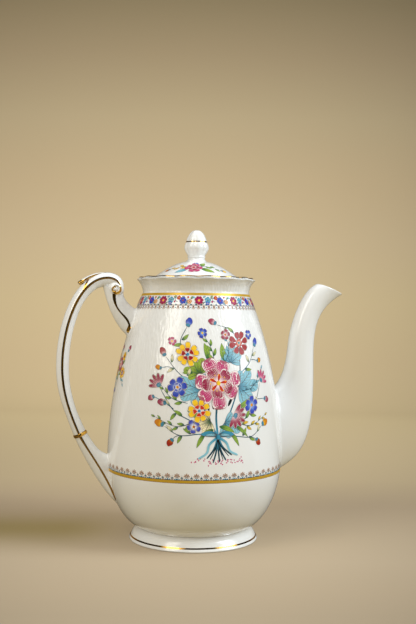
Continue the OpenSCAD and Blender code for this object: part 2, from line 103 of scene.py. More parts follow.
class Clay:
    """Collects grids of points, in millimetres, and fires them into one mesh in metres."""

    def __init__(self):
        self.points, self.quads, self.fans, self.count = [], [], [], 0
        self.paint = {}

    def grid(self, p, round_u=False, round_v=False, flip=False, keep=None):
        """Skin over p[i, j]: a quad to each cell, closed along u or v where asked."""
        p = np.asarray(p, float)
        nu, nv = p.shape[:2]
        i = np.arange(nu if round_u else nu - 1)[:, None]
        j = np.arange(nv if round_v else nv - 1)[None, :]
        i2, j2 = (i + 1) % nu, (j + 1) % nv
        q = np.stack([i * nv + j, i2 * nv + j, i2 * nv + j2, i * nv + j2], -1)
        q = q[keep] if keep is not None else q.reshape(-1, 4)
        self.quads.append((q[:, ::-1] if flip else q) + self.count)
        self.points.append(p.reshape(-1, 3))
        start, self.count = self.count, self.count + nu * nv
        return np.arange(start, self.count).reshape(nu, nv)

    def many(self, p, **paint):
        """Separate skins over every grid of p[n, i, j], with their painted values, in one go."""
        n, nu, nv = p.shape[:3]
        i, j = np.arange(nu - 1)[:, None] * nv, np.arange(nv - 1)[None, :]
        q = np.stack([i + j, i + nv + j, i + nv + j + 1, i + j + 1], -1).reshape(1, -1, 4)
        q = q + (np.arange(n) * nu * nv)[:, None, None]
        self.quads.append(q.reshape(-1, 4) + self.count)
        self.points.append(p.reshape(-1, 3))
        for name, value in paint.items():
            self.paint.setdefault(name, []).append(value.reshape(n * nu * nv, -1))
        self.count += n * nu * nv

    def cap(self, ring, flip=False):
        """Closes a ring of point numbers with a fan about its middle."""
        mid, self.count = self.count, self.count + 1
        self.points.append(np.vstack(self.points)[ring].mean(0)[None])
        f = np.stack([np.full(len(ring), mid), ring, np.roll(ring, -1)], -1)
        self.fans.append(f[:, ::-1] if flip else f)

    def close(self, ids, flip=False):
        """Caps both ends of a tube; `flip` as it was for the tube's own grid."""
        self.cap(ids[0], flip=flip)
        self.cap(ids[-1], flip=not flip)

    def joined(self, pts):
        """Points that coincide become one; a quad left with a doubled corner becomes a triangle."""
        key = np.round(pts * 1e7).astype(np.int64)
        _, first, back = np.unique(key, axis=0, return_index=True, return_inverse=True)
        back = back.reshape(-1)
        loops, sizes = [], []
        for f in (back[f] for f in self.quads + self.fans):
            same = np.stack([f[:, k] == f[:, (k + 1) % f.shape[1]] for k in range(f.shape[1])], 1)
            whole = ~same.any(1)
            loops.append(f[whole].reshape(-1))
            sizes.append(np.full(whole.sum(), f.shape[1]))
            one = same.sum(1) == 1
            if f.shape[1] == 4 and one.any():
                loops.append(f[one][~same[one]])
                sizes.append(np.full(one.sum(), 3))
        return pts[first], np.concatenate(loops), np.concatenate(sizes)

    def fire(self, name, material, body, replaces=(), crease=None):
        """Makes the mesh and its object, and gives it its body and what it replaces."""
        pts = np.vstack(self.points) * MM
        if self.paint:
            loops = np.concatenate([f.reshape(-1) for f in self.quads])
            sizes = np.full(len(loops) // 4, 4)
        else:
            pts, loops, sizes = self.joined(pts)
        mesh = bpy.data.meshes.new(name)
        mesh.vertices.add(len(pts))
        mesh.vertices.foreach_set("co", pts.astype(np.float32).ravel())
        mesh.loops.add(len(loops))
        mesh.loops.foreach_set("vertex_index", loops.astype(np.int32))
        mesh.polygons.add(len(sizes))
        mesh.polygons.foreach_set("loop_start", np.r_[0, np.cumsum(sizes)[:-1]].astype(np.int32))
        mesh.update(calc_edges=True)
        for key, parts in self.paint.items():
            v = np.vstack(parts)
            kind, field = ("FLOAT", "value") if v.shape[1] == 1 else ("FLOAT_COLOR", "color")
            mark = mesh.attributes.new(key, kind, "POINT")
            mark.data.foreach_set(field, v.astype(np.float32).ravel())
        mesh.polygons.foreach_set("use_smooth", np.ones(len(sizes), bool))
        mesh.validate()
        if crease is not None:
            mesh.set_sharp_from_angle(angle=math.radians(crease))
        mesh.materials.append(material)
        piece = bpy.data.objects.new(name, mesh)
        bpy.context.scene.collection.objects.link(piece)
        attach(piece, body)
        if replaces:
            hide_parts(*replaces)


# ---------------------------------------------------------------- shader words

class Wire:
    """A socket or a number in a material, so that maths on it can be written as maths."""

    def __init__(self, tree, value):
        self.tree, self.value = tree, value

    def node(self, kind, settings=None, inputs=None, out=0):
        """Adds any node: its settings first, then the values or links of its sockets."""
        n = self.tree.nodes.new(kind)
        for k, v in (settings or {}).items():
            if k == "ramp":
                ramp = n.color_ramp
                while len(ramp.elements) < len(v):
                    ramp.elements.new(0.5)
                for e, (at, col) in zip(ramp.elements, v):
                    e.position, e.color = at, (*col, 1)
            else:
                setattr(n, k, v)
        for k, v in (inputs or {}).items():
            if isinstance(v, Wire):
                v = v.value
            if isinstance(v, bpy.types.NodeSocket):
                self.tree.links.new(v, n.inputs[k])
            else:
                n.inputs[k].default_value = v
        return Wire(self.tree, n.outputs[out])

    def maths(self, operation, a, b=0.0, clamp=False):
        """One Math node on a and b."""
        return self.node("ShaderNodeMath", {"operation": operation, "use_clamp": clamp},
                         {0: a, 1: b, 2: 0.0})

    def __add__(self, o):
        return self.maths("ADD", self, o)

    def __radd__(self, o):
        return self.maths("ADD", o, self)

    def __sub__(self, o):
        return self.maths("SUBTRACT", self, o)

    def __rsub__(self, o):
        return self.maths("SUBTRACT", o, self)

    def __mul__(self, o):
        return self.maths("MULTIPLY", self, o)

    def __rmul__(self, o):
        return self.maths("MULTIPLY", o, self)

    def __truediv__(self, o):
        return self.maths("DIVIDE", self, o)

    def abs(self):
        """The number without its sign."""
        return self.maths("ABSOLUTE", self)

    def sin(self):
        """The sine of an angle in radians."""
        return self.maths("SINE", self)

    def clamp(self):
        """The number held between 0 and 1."""
        return self.maths("ADD", self, clamp=True)

    def part(self, k):
        """One of the three numbers of a vector: 0, 1 or 2."""
        return self.node("ShaderNodeSeparateXYZ", {}, {0: self}, k)

    def step(self, a, b):
        """0 below a, 1 above b, smooth between."""
        return self.node("ShaderNodeMapRange", {"interpolation_type": "SMOOTHSTEP"},
                         {0: self, 1: a, 2: b, 3: 0.0, 4: 1.0})

    def noise(self, scale, detail, rough, at):
        """Soft clouds, `scale` to the metre, at the place `at`."""
        return self.node("ShaderNodeTexNoise", {}, {"Scale": scale, "Detail": detail,
                                                    "Roughness": rough, "Vector": at})

    def blend(self, a, b):
        """Colour a where this is 0 and colour b where it is 1."""
        return self.node("ShaderNodeMix", {"data_type": "RGBA"}, {0: self, 6: colour(a), 7: colour(b)}, 2)

    def times(self, c):
        """This colour multiplied by another colour or by a number."""
        return self.node("ShaderNodeMix", {"data_type": "RGBA", "blend_type": "MULTIPLY"},
                         {0: 1.0, 6: self, 7: c}, 2)

    def mark(self, name, out=0):
        """A painted value of the mesh: as a colour (0), as a number (2) or its fourth share (3)."""
        return self.node("ShaderNodeAttribute", {"attribute_name": name}, out=out)

    def bump(self, strength, deep, height):
        """A dented surface: `deep` is how far in metres a height of 1 stands up."""
        return self.node("ShaderNodeBump", {}, {"Strength": strength, "Distance": deep,
                                                "Height": height})


def colour(c):
    """A colour for a socket: a link as it is, three numbers with a fourth added."""
    return c if isinstance(c, Wire) else (*c, 1.0)


def finish_of(name):
    """A new material: returns it, its tree as a Wire, and its main shader node."""
    m = bpy.data.materials.new(name)
    m.use_nodes = True
    tree = m.node_tree
    return m, Wire(tree, 0.0), tree.nodes["Principled BSDF"]


def wire_up(shader, **sockets):
    """Links or sets the shader's sockets by name, with _ for a space."""
    for k, v in sockets.items():
        k = k.replace("_", " ")
        if isinstance(v, Wire):
            shader.id_data.links.new(v.value, shader.inputs[k])
        else:
            shader.inputs[k].default_value = (*v, 1.0) if isinstance(v, tuple) else v


def rgb(r, g, b):
    """A colour as seen on a screen, 0 to 255, as the linear numbers that shaders use."""
    c = np.array([r, g, b]) / 255
    return tuple(float(x) for x in np.where(c <= 0.04045, c / 12.92, ((c + 0.055) / 1.055)**2.4))


CHINA_IOR = 1.52
COAT = 0.6
RIPPLE = 0.00035  # how far the slow ripple of the glaze stands up, in metres


def glaze_finish():
    """White glaze over bone china: faint warm and cool drift, slow ripple, a few pinholes.

    Where the body was drawn up on the wheel, between 70 and 186 mm high, fine upright streaks
    add to the ripple, and they stop short of the spout and the handle.
    """
    m, w, s = finish_of("white_glaze")
    at = w.node("ShaderNodeTexCoord", out=3)
    drift = w.noise(9.0, 2.0, 0.5, at)
    ripple = w.noise(38.0, 2.0, 0.45, at)
    drawn = w.node("ShaderNodeVectorMath", {"operation": "MULTIPLY"}, {0: at, 1: (1.0, 1.0, 0.07)})
    tiny = w.noise(560.0, 1.0, 0.5, drawn)
    pits = w.noise(700.0, 0.0, 0.5, at).step(0.86, 0.9)
    col = drift.blend(rgb(238, 238, 234), rgb(243, 243, 242))
    col = (pits * 0.35).blend(col, rgb(206, 196, 178))
    x, z = at.part(0), at.part(2)
    drawn_on = z.step(0.07, 0.14) * (1.0 - x.abs().step(0.064, 0.07)) * (1.0 - z.step(0.186, 0.2))
    wavy = w.bump(0.35, RIPPLE, ripple * 1.3 + tiny * (drawn_on * 4.0 + 0.1))
    wire_up(s, Base_Color=col, Roughness=drift * 0.06 + 0.08, Normal=wavy, Coat_Weight=COAT,
            Coat_Roughness=0.03, IOR=CHINA_IOR)
    return m


def foot_finish():
    """The same glaze, wiped away where the ring stands: bare, matt and a little soiled."""
    m, w, s = finish_of("foot_glaze_and_bare_rim")
    at = w.node("ShaderNodeTexCoord", out=3)
    bare = 1.0 - at.part(2).step(0.00012, 0.0005)
    drift = w.noise(9.0, 2.0, 0.5, at)
    grit = w.noise(1500.0, 3.0, 0.6, at)
    col = drift.blend(rgb(240, 238, 231), rgb(244, 244, 241))
    col = bare.blend(col, grit.blend(rgb(214, 205, 188), rgb(236, 230, 216)))
    wavy = w.bump(0.35, RIPPLE, w.noise(38.0, 2.0, 0.45, at) + bare * grit * 0.3)
    wire_up(s, Base_Color=col, Roughness=bare * 0.6 + 0.1, Normal=wavy,
            Coat_Weight=COAT - bare * COAT, Coat_Roughness=0.03, IOR=CHINA_IOR)
    return m


def gold_finish():
    """Bright liquid gold, fired on: mirror-like, with a brushed drift and thin worn spots."""
    m, w, s = finish_of("burnished_gold")
    at = w.node("ShaderNodeTexCoord", out=3)
    drift = w.noise(160.0, 3.0, 0.6, at)
    worn = w.noise(420.0, 4.0, 0.7, at).step(0.66, 0.8)
    col = drift.blend(rgb(214, 160, 62), rgb(238, 192, 96))
    col = (worn * 0.5).blend(col, rgb(236, 222, 190))
    wire_up(s, Base_Color=col, Metallic=1.0 - worn * 0.3, Roughness=drift * 0.1 + 0.04,
            Normal=w.bump(0.3, 0.0001, w.noise(900.0, 2.0, 0.5, at)))
    return m


def flat_gold_finish():
    """Gold of the wide bands: thicker, yellower and softer than the drawn lines."""
    m, w, s = finish_of("band_gold")
    at = w.node("ShaderNodeTexCoord", out=3)
    drift = w.noise(120.0, 4.0, 0.65, at)
    worn = w.noise(380.0, 5.0, 0.7, at).step(0.63, 0.78)
    col = drift.blend(rgb(212, 162, 40), rgb(232, 190, 66))
    col = (worn * 0.5).blend(col, rgb(236, 218, 160))
    wire_up(s, Base_Color=col, Metallic=0.35 - worn * 0.15, Roughness=drift * 0.2 + 0.28,
            Normal=w.bump(0.4, 0.0001, w.noise(800.0, 3.0, 0.6, at)))
    return m


def enamel_finish():
    """Painted enamel. Each blade carries its base and tip colours, a drawn edge and veins.

    tone = heel + (tip - heel) ease(u), with streaks along u from the brush. The outline lies
    where the distance to the edge, `rim`, is under a quarter of a millimetre. `ways` holds u,
    v and the kind of mark: 0 is plain, 1 a petal with streaks, 2 a leaf with a rib and veins.
    """
    m, w, s = finish_of("painted_enamel")
    heel, tip, line, ways = (w.mark(name) for name in ("heel", "tip", "line", "ways"))
    rim = w.mark("rim", out=2)
    u, v, kind = (ways.part(k) for k in range(3))
    at = w.node("ShaderNodeTexCoord", out=3)
    wash = w.noise(700.0, 3.0, 0.6, at)
    tone = (u.step(0.0, 0.62) + (wash - 0.5) * 0.35).clamp()
    col = tone.blend(heel, tip)
    petal = kind.step(0.5, 0.9) * (1.0 - kind.step(1.5, 1.9))
    streak = ((v * 21.0 + u * 3.0).sin() * 0.5 + 0.5) * ((1.0 - u) * 0.8)
    col = (petal * streak * 0.5).blend(col, heel)
    leaf = kind.step(1.6, 1.95)
    rib = 1.0 - v.abs().step(0.03, 0.09)
    side = ((u * 34.0 - v.abs() * 9.0).sin() * 0.5 + 0.5).step(0.82, 0.98)
    side = side * (1.0 - v.abs().step(0.7, 0.85))
    col = ((rib + side * 0.75).clamp() * leaf * 0.7).blend(col, line)
    edge = (1.0 - rim.step(0.16, 0.26)) * w.mark("line", out=3)
    col = (edge * 0.85).blend(col, line)
    wire_up(s, Base_Color=col, Roughness=0.42, Coat_Weight=0.12, Coat_Roughness=0.08,
            Specular_IOR_Level=0.3)
    return m


GLAZE, FOOT_GLAZE, GOLD, BAND_GOLD, ENAMEL = (
    glaze_finish(), foot_finish(), gold_finish(), flat_gold_finish(), enamel_finish())


# ---------------------------------------------------------------- the wall of the pot

WALL = 3.0
LOW_OUT = [(42.9, 9.8), (58.23, 17.22), (66.2, 41.52), (66.2, 58.6)]
HIGH_OUT = [(66.2, 58.6), (66.2, 116.3), (51.3, 163.3), (41, 186)]
LOW_IN = [(35.7, 13.8), (54.37, 18.83), (63.2, 41.52), (63.2, 58.6)]
OUTER = np.vstack([run(LOW_OUT, 300), run(HIGH_OUT, 700, 1)])
INNER = np.vstack([run(LOW_IN, 300), run(HIGH_OUT, 700, 1) - (WALL, 0)])
SCALLOPS = 16


def r_at(z):
    """Outside radius of the body at height z."""
    return np.interp(z, OUTER[:, 1], OUTER[:, 0])


def r_in(z):
    """Inside radius of the body at height z."""
    return np.interp(z, INNER[:, 1], INNER[:, 0])


def slope_at(z):
    """How fast the radius grows with height: dr/dz."""
    return r_at(np.asarray(z) + 0.5) - r_at(np.asarray(z) - 0.5)


def turned_points(r, phi, z):
    """Points at radius r, angle phi and height z."""
    return np.stack([r * np.cos(phi), r * np.sin(phi), z], -1)


def turned(profile, phi):
    """Profile rows [r, z, k] carried to the angles phi, with k shares of sixteen scallops.

    r' = r + depth k (|cos 8 phi| - 1), so a scallop is a full arc and its joins are soft cusps.
    The lip dips a little at each join too: z' = z - 0.45 (1 - cos 16 phi) / 2 near the edge.
    """
    profile = np.asarray(profile, float)
    lobes = np.sqrt(np.cos(SCALLOPS / 2 * phi)**2 + 0.004) - 1.0
    r = profile[None, :, 0] + 1.1 * profile[None, :, 2] * lobes[:, None]
    edge = ease(profile[:, 0], 38, 45) * ease(profile[:, 1], 187.5, 195)
    z = profile[None, :, 1] - 0.45 * edge[None] * (1 - np.cos(SCALLOPS * phi))[:, None] / 2
    return turned_points(r, phi[:, None], z)


def rows(rz, k=0.0):
    """Profile points [r, z] as rows [r, z, k] with one share of the scallops."""
    rz = np.asarray(rz, float).reshape(-1, 2)
    return np.column_stack([rz, np.full(len(rz), k)])


def square_to_round(n, steps, radius, half):
    """Points between a square of n cells a side and a circle: [4n, steps, 2], square first."""
    t = np.arange(n) / n * 2 - 1
    one = np.ones(n)
    sq = np.vstack([np.c_[t, -one], np.c_[one, t], np.c_[-t, one], np.c_[-one, -t]]) * half
    a = np.arctan2(sq[:, 1] / half[1], sq[:, 0] / half[0])
    ring = np.c_[np.cos(a), np.sin(a)] * radius
    s = np.linspace(0, 1, steps)[None, :, None]
    return sq[:, None] * (1 - s) + ring[:, None] * s


ROUND = 256
STEP = TAU / ROUND
WINDOW = np.radians(np.arange(25) * 0.9375 - 11.25)  # finer steps across the strainer
PHI = np.r_[WINDOW, np.arange(9, 248) * STEP]
HOLE_R, HOLE_PITCH, HOLE_MID = 2.5, 8.5, 81.25
HOLE_TURN = math.radians(7.5)
HOLE_Z = 68.5 + np.arange(25) * 1.0625
BELLY_R = 65.0


def strainer_hole(clay, phi0, z0):
    """One hole: both faces of the wall run from a square to a circle, with a tube between."""
    flat = square_to_round(8, 5, HOLE_R + 0.35, np.array([HOLE_TURN / 2 * BELLY_R, HOLE_PITCH / 2]))
    walls = []
    for q, radius_at in ((flat, r_at), (flat[:, ::-1], r_in)):
        phi, z = phi0 + q[..., 0] / BELLY_R, z0 + q[..., 1]
        walls.append(turned_points(radius_at(z), phi, z))
    a = np.arctan2(flat[:, -1, 1], flat[:, -1, 0])
    tube = []
    for rad, share, sink in ((HOLE_R + 0.12, 0, 0.09), (HOLE_R, 0, 0.36), (HOLE_R, 1, -0.36),
                             (HOLE_R + 0.12, 1, -0.09)):
        phi, z = phi0 + rad * np.cos(a) / BELLY_R, z0 + rad * np.sin(a)
        r = r_at(z) * (1 - share) + r_in(z) * share - sink
        tube.append(turned_points(r, phi, z))
    clay.grid(np.concatenate([walls[0], np.stack(tube, 1), walls[1]], 1), round_u=True)


def make_body():
    """Body and collar as one closed surface, with the nine strainer holes cut through it."""
    clay = Clay()
    up = np.r_[np.linspace(58.6, 68.5, 8)[1:-1], HOLE_Z, np.linspace(94, 185.2, 74)[1:]]
    down = np.r_[np.linspace(183.5, 94, 60), HOLE_Z[::-1][1:], np.linspace(68.5, 58.6, 8)[1:-1]]
    collar = spline([(41.02, 185.4, 0), (40.92, 186.2, 0), (40.75, 187.4, 0), (41.1, 189.2, .05),
                     (41.9, 191.6, .2), (43.3, 194, .5), (44.75, 195.7, .85), (45.5, 196.4, 1),
                     (45.6, 196.72, 1), (45.3, 196.95, 1), (44.3, 196.98, .9),
                     (43.2, 196.9, .8), (42.2, 196.1, .6), (40.9, 194, .3), (39.1, 191.4, .1),
                     (38.25, 188.4, 0), (38.1, 186, 0)], 97)
    parts = [rows([(0, 9.8), (20, 9.8), (38, 9.8), (41, 9.8)]), rows(run(LOW_OUT, 34)),
             rows(np.c_[r_at(up), up]), collar, rows(np.c_[r_in(down), down]),
             rows(run(LOW_IN, 26)[::-1]), rows([(24, 13.8), (12, 13.8), (0, 13.8)])]
    profile = np.vstack(parts)
    out_at = len(np.vstack(parts[:2])) + 6
    in_at = len(np.vstack(parts[:4])) + 59
    keep = np.ones((len(PHI), len(profile) - 1), bool)  # all but the strainer's 24 x 24 cells
    for at in (out_at, in_at):
        keep[:24, at:at + 24] = False
    clay.grid(turned(profile, PHI), round_u=True, keep=keep)
    for i in (-1, 0, 1):
        for k in (-1, 0, 1):
            strainer_hole(clay, HOLE_TURN * i, HOLE_MID + HOLE_PITCH * k)
    clay.fire("body_wall", GLAZE, "pot", replaces=("body_shell", "neck_collar"), crease=50)


FOOT_OUT = spline([(42.6, 10.2), (42.95, 9.75), (43.4, 9.2), (44.04, 8.53), (45.42, 7.06), (46.5, 5.49),
                   (47.34, 3.82), (48.06, 2.65), (48.7, 1.57), (48.9, .9), (48.6, .3), (47.7, 0)], 89)


def make_foot():
    """Foot ring: a flared skirt over a small roll, a bare narrow rim and a hollow inside."""
    inner = spline([(46.3, 0), (44.9, .6), (44.2, 2.6), (43.1, 4.6), (41.5, 6.6), (40.2, 9),
                    (39.4, 10.2)], 41)
    prof = np.vstack([FOOT_OUT, [(47, 0)], inner])[::-1]
    clay = Clay()
    clay.grid(turned(rows(np.vstack([prof, prof[:1]])), np.arange(ROUND) * STEP), round_u=True)
    clay.fire("foot", FOOT_GLAZE, "pot", replaces=("foot_ring",), crease=60)


# ---------------------------------------------------------------- spout

def on_wall(p, depth=0.0):
    """The same points moved sideways in x onto the body's outside, `depth` below it."""
    r = r_at(p[..., 2]) - depth
    q = np.array(p)
    q[..., 0] = np.sign(p[..., 0]) * np.sqrt(np.maximum(r**2 - p[..., 1]**2, 0))
    return q


def lengths(g):
    """Distance along each generator g[:, k]."""
    return np.concatenate([np.zeros((1, g.shape[1])),
                           np.cumsum(np.linalg.norm(np.diff(g, axis=0), axis=2), 0)])


def resampled(g, want):
    """Every generator g[:, k] sampled at its own distances want[:, k]."""
    s = lengths(g)
    out = np.empty(want.shape + (3,))
    for k in range(g.shape[1]):
        for c in range(3):
            out[:, k, c] = np.interp(want[:, k], s[:, k], g[:, k, c])
    return out


def rooted(g, radius, trim=0.0, plug=()):
    """Gives a tube whose first ring lies on the wall a soft hollow fillet of that radius.

    A point A on the wall, `radius` away from the tube, and a point B on the tube, as far up,
    are joined by a quadratic curve through the old corner: (1-s)^2 A + 2s(1-s) C + s^2 B.
    `plug` lists shares of the first ring's size, for rings that close the tube inside the wall.
    """
    corner = on_wall(g[0])
    g = np.concatenate([corner[None], g[1:]])
    side = np.roll(corner, -1, 0) - np.roll(corner, 1, 0)
    z = corner[:, 2]
    n = np.stack([corner[:, 0] / r_at(z), corner[:, 1] / r_at(z), -slope_at(z)], 1)
    away = np.cross(side, n)
    away /= np.linalg.norm(away, axis=1, keepdims=True)
    away *= np.sign((away * (corner - corner.mean(0))).sum(1).mean())
    far = on_wall(corner + away * radius, 0.12)
    s = lengths(g)
    up = resampled(g, np.full((1, g.shape[1]), radius))[0]
    t = np.linspace(0, 1, 9)[:, None, None]
    bend = (1 - t)**2 * far + 2 * t * (1 - t) * corner + t**2 * up
    total = s[-1] - trim
    q = np.linspace(0, 1, len(g))[1:, None]
    rest = resampled(g, radius + (total - radius) * q)
    mid = far.mean(0)
    under = [on_wall(mid + (far - mid) * k, 1.0) for k in plug]
    return np.concatenate([np.reshape(under, (-1,) + far.shape), bend, rest])


SPOUT_WALL = 2.4
FILLET = 3.2
FAR_A = [(65.72, 49.5), (85.5, 59.5), (95.5, 69.9), (95.5, 120)]
FAR_B = [(95.5, 120), (95.5, 153.8), (92.2, 173.3), (119.5, 188.1)]
NEAR_A = [(61.7, 113), (71.7, 121.4), (73.8, 136.7), (75, 150)]
NEAR_B = [(75, 150), (76, 161.1), (84.4, 190.3), (98.3, 196.2)]


def spout_rings(inset, n_ring=97, n_round=56):
    """Rings of the swan neck between its far and near edge, inset by the china's thickness.

    x, z = middle + half the chord cos b, y = half width sin b (1 - 0.24 t^4 cos b), so that
    towards the mouth, where t is 1, the rings grow narrow on the far side.
    """
    i = np.arange(25)
    k = i[:, None]
    far = np.where(k <= 10, cub(FAR_A, np.minimum(i / 10, 1)), cub(FAR_B, np.clip((i - 10) / 14, 0, 1)))
    low = cub(NEAR_A, 0.5 * np.minimum(i / 10, 1) + 0.5 * np.clip((i - 10) / 5, 0, 1))
    near = np.where(k <= 15, low, cub(NEAR_B, np.clip((i - 15) / 9, 0, 1)))
    y = np.interp(i / 24, [0, .12, .25, .42, .7, 1], [16.5, 13.85, 11.84, 10.2, 8.88, 8])
    for _ in range(2):
        y[1:-1] = (y[:-2] + 2 * y[1:-1] + y[2:]) / 4
    far, near = spline(far, n_ring), spline(near, n_ring)
    y = np.interp(np.linspace(0, 24, n_ring), i, y)[:, None] - inset
    t = np.linspace(0, 1, n_ring)[:, None]
    b = TAU * np.arange(n_round) / n_round
    mid, chord = (far + near) / 2, (far - near) / 2
    half = np.linalg.norm(chord, axis=1, keepdims=True)
    chord = chord * (half - inset) / half
    x = mid[:, :1] + chord[:, :1] * np.cos(b)
    z = mid[:, 1:] + chord[:, 1:] * np.cos(b)
    return np.stack([x, y * np.sin(b) * (1 - 0.24 * t**4 * np.cos(b)), z], -1)


def make_spout():
    """Spout: outer skin with a fillet at its root, a rounded lip and an inner skin."""
    outer = rooted(spout_rings(0.0), FILLET, trim=0.9)
    inner = spout_rings(SPOUT_WALL)
    inner[0] = on_wall(inner[0], 0.05)
    share = np.linspace(0, 1, len(inner))[:, None]
    inner = resampled(inner, (lengths(inner)[-1] - 1.2) * share)
    onward = outer[-1] - outer[-3]
    onward /= np.linalg.norm(onward, axis=1, keepdims=True)
    a = np.radians(np.arange(18, 163, 18))[:, None, None]
    m = (1 + np.cos(a)) / 2
    lip = outer[-1] * m + inner[-1] * (1 - m) + onward * 0.95 * np.sin(a)
    clay = Clay()
    clay.grid(np.concatenate([outer, lip, inner[::-1]]), round_u=True, round_v=True, flip=True)
    clay.fire("spout_skin", GLAZE, "pot", replaces=("spout_base", "spout_neck"), crease=60)


# ---------------------------------------------------------------- handle

EYE = np.array([-62.2, 188.8])
BOW_A = [(-88, 79.6), (-95.1, 95.5), (-101.7, 111.2), (-101.7, 131)]
BOW_B = [(-101.7, 131), (-101.7, 164.6), (-88.3, 197.4), (-68.4, 197.4)]
BOW_C = [(-68.4, 197.4), (-62.8, 197.4), (-59.3, 194.4), (-59.3, 190.4)]
ROOT_FILLET = 2.4
LEAF_FROM, LEAF_TO = 0.985, 0.68  # the shares of BOW_B at which the thumb leaf starts and ends
BOW_OUT, BOW_IN, BOW_HALF = 3.8, 5.8, 5.5  # how far its two crowns stand up, and half its width
PROUD, SUNK = 0.09, 0.15  # how far gold stands above the glaze, and reaches below it
RIDGES = ((0, -1), (20, 1))  # where the two ridges of a section lie, and which way is inward


def lens(o, g, i, h, e, n=40):
    """Lens-shaped rings in a plane holding y: ridges at g, crowns at o and i, half width h.

    p = g + (o - g) |sin b|^e on the outer side, p = g + (i - g) |sin b|^e on the inner one,
    and y = h cos b, so that e sets how sharp the ridges are.
    """
    b = TAU * np.arange(n) / n
    s = np.abs(np.sin(b))**np.asarray(e, float)[..., None]
    outward = (b < math.pi)[:, None]
    o, g, i = (np.asarray(v, float)[:, None] for v in (o, g, i))
    p = g + np.where(outward, o - g, i - g) * s[..., None]
    return np.stack([p[..., 0], np.asarray(h)[:, None] * np.cos(b), p[..., 1]], -1)


def skinned(name, rings, node, finish=GLAZE):
    """One closed piece over a row of rings, its ends closed with fans."""
    clay = Clay()
    clay.close(clay.grid(rings, round_v=True, flip=True), flip=True)
    clay.fire(name, finish, "pot", replaces=(node,), crease=70)


def bow_lines(n):
    """Ridge points, outward normals, directions, crown heights and half widths along the bow."""
    p = np.vstack([run(BOW_A, 9), run(BOW_B, 12, 1), run(BOW_C, 5, 1)])
    p = spline(p, n)
    d = heading(p)
    t = np.linspace(0, 1, n)
    out = BOW_OUT * np.interp(t, [0, .1, .25, .4, .9, 1], [.95, .84, .97, 1, .97, .9])
    inn = BOW_IN * np.interp(t, [0, .12, .35, .6, .72, .82, .9, 1], [1, .92, 1, .93, 1.06, 1.3, 1, .8])
    h = np.interp(t, [0, .2, .75, 1], [BOW_HALF, 5.2, 5.2, BOW_HALF])
    return p, leftward(d), d, out, inn, h


def gilt_strip(clay, rings, row, col, half, shift=0.0):
    """Lays a closed strip of gold on a skin of rings, along (row, col), `half` mm to each side.

    Each row number picks a ring between two of the skin's own; the strip's points stand at
    equal steps of that ring's length, from `half` before `col` to `half` after it, all moved
    on by `shift`.
    """
    n = rings.shape[1]
    wrap = np.concatenate([rings, rings[:, :1]], 1)
    nrm = np.cross(np.gradient(rings, axis=0), np.roll(rings, -1, 1) - np.roll(rings, 1, 1))
    way = np.sign((nrm * (rings - rings.mean(1, keepdims=True))).sum(-1).mean())
    nrm *= way
    nrm /= np.linalg.norm(nrm, axis=-1, keepdims=True) + 1e-12
    nrm = np.concatenate([nrm, nrm[:, :1]], 1)
    steps = np.linspace(-1, 1, 9)
    strip = []
    for r, c, w, moved in zip(*np.broadcast_arrays(row, col, half, shift)):
        k = min(int(r), len(rings) - 2)
        f = r - k
        ring, away = (g[k] * (1 - f) + g[k + 1] * f for g in (wrap, nrm))
        along = np.r_[0, np.cumsum(np.linalg.norm(np.diff(ring, axis=0), axis=1))]
        want = (np.interp(c % n, np.arange(n + 1), along) + steps * w + moved) % along[-1]
        p, q = (np.stack([np.interp(want, along, g[:, x]) for x in range(3)], 1) for g in (ring, away))
        strip.append(np.vstack([p + q * PROUD, (p - q * SUNK)[::-1]]))
    clay.close(clay.grid(strip, round_v=True, flip=way < 0), flip=way < 0)


def gild_ridges(gold, rings, row, half, aside):
    """A gold line beside both ridges of a skin, moved inward by `aside`."""
    for col, inward in RIDGES:
        gilt_strip(gold, rings, row, col, half, inward * aside)


def round_eye(r, a, y):
    """Points at radius r and angle a about the line through the scroll's eye, y along it."""
    return np.stack([EYE[0] + r * np.cos(a), y, EYE[1] + r * np.sin(a)], -1)


def make_scroll(gold):
    """Scroll: a roll turned about a line along y; each face has an eye, a groove and a shoulder.

    The shoulder falls as y = 6 sqrt(1 - ((r - 2.9) / 3.7)^(4/3)).
    """
    shoulder, wide, half = 2.9, 3.7, 6.0
    rad = shoulder + wide * np.linspace(0, 1, 26)**1.2
    fall = half * np.sqrt(np.maximum(0, 1 - ((rad - shoulder) / wide)**(4 / 3)))
    eye = spline([(0, 5.75), (.7, 5.7), (1.3, 5.4), (1.9, 5.05), (2.4, 5.4), (shoulder, half)], 24)
    face = np.vstack([eye, np.c_[rad, fall][1:-1]])
    prof = np.vstack([face, [(shoulder + wide, 0)], face[::-1] * (1, -1)])
    a = (TAU * np.arange(96) / 96)[:, None]
    clay = Clay()
    clay.grid(round_eye(prof[None, :, 0], a, prof[None, :, 1] + 0 * a), round_u=True)
    clay.fire("scroll", GLAZE, "pot", replaces=("handle_scroll",), crease=70)
    scroll_threads(gold, face)


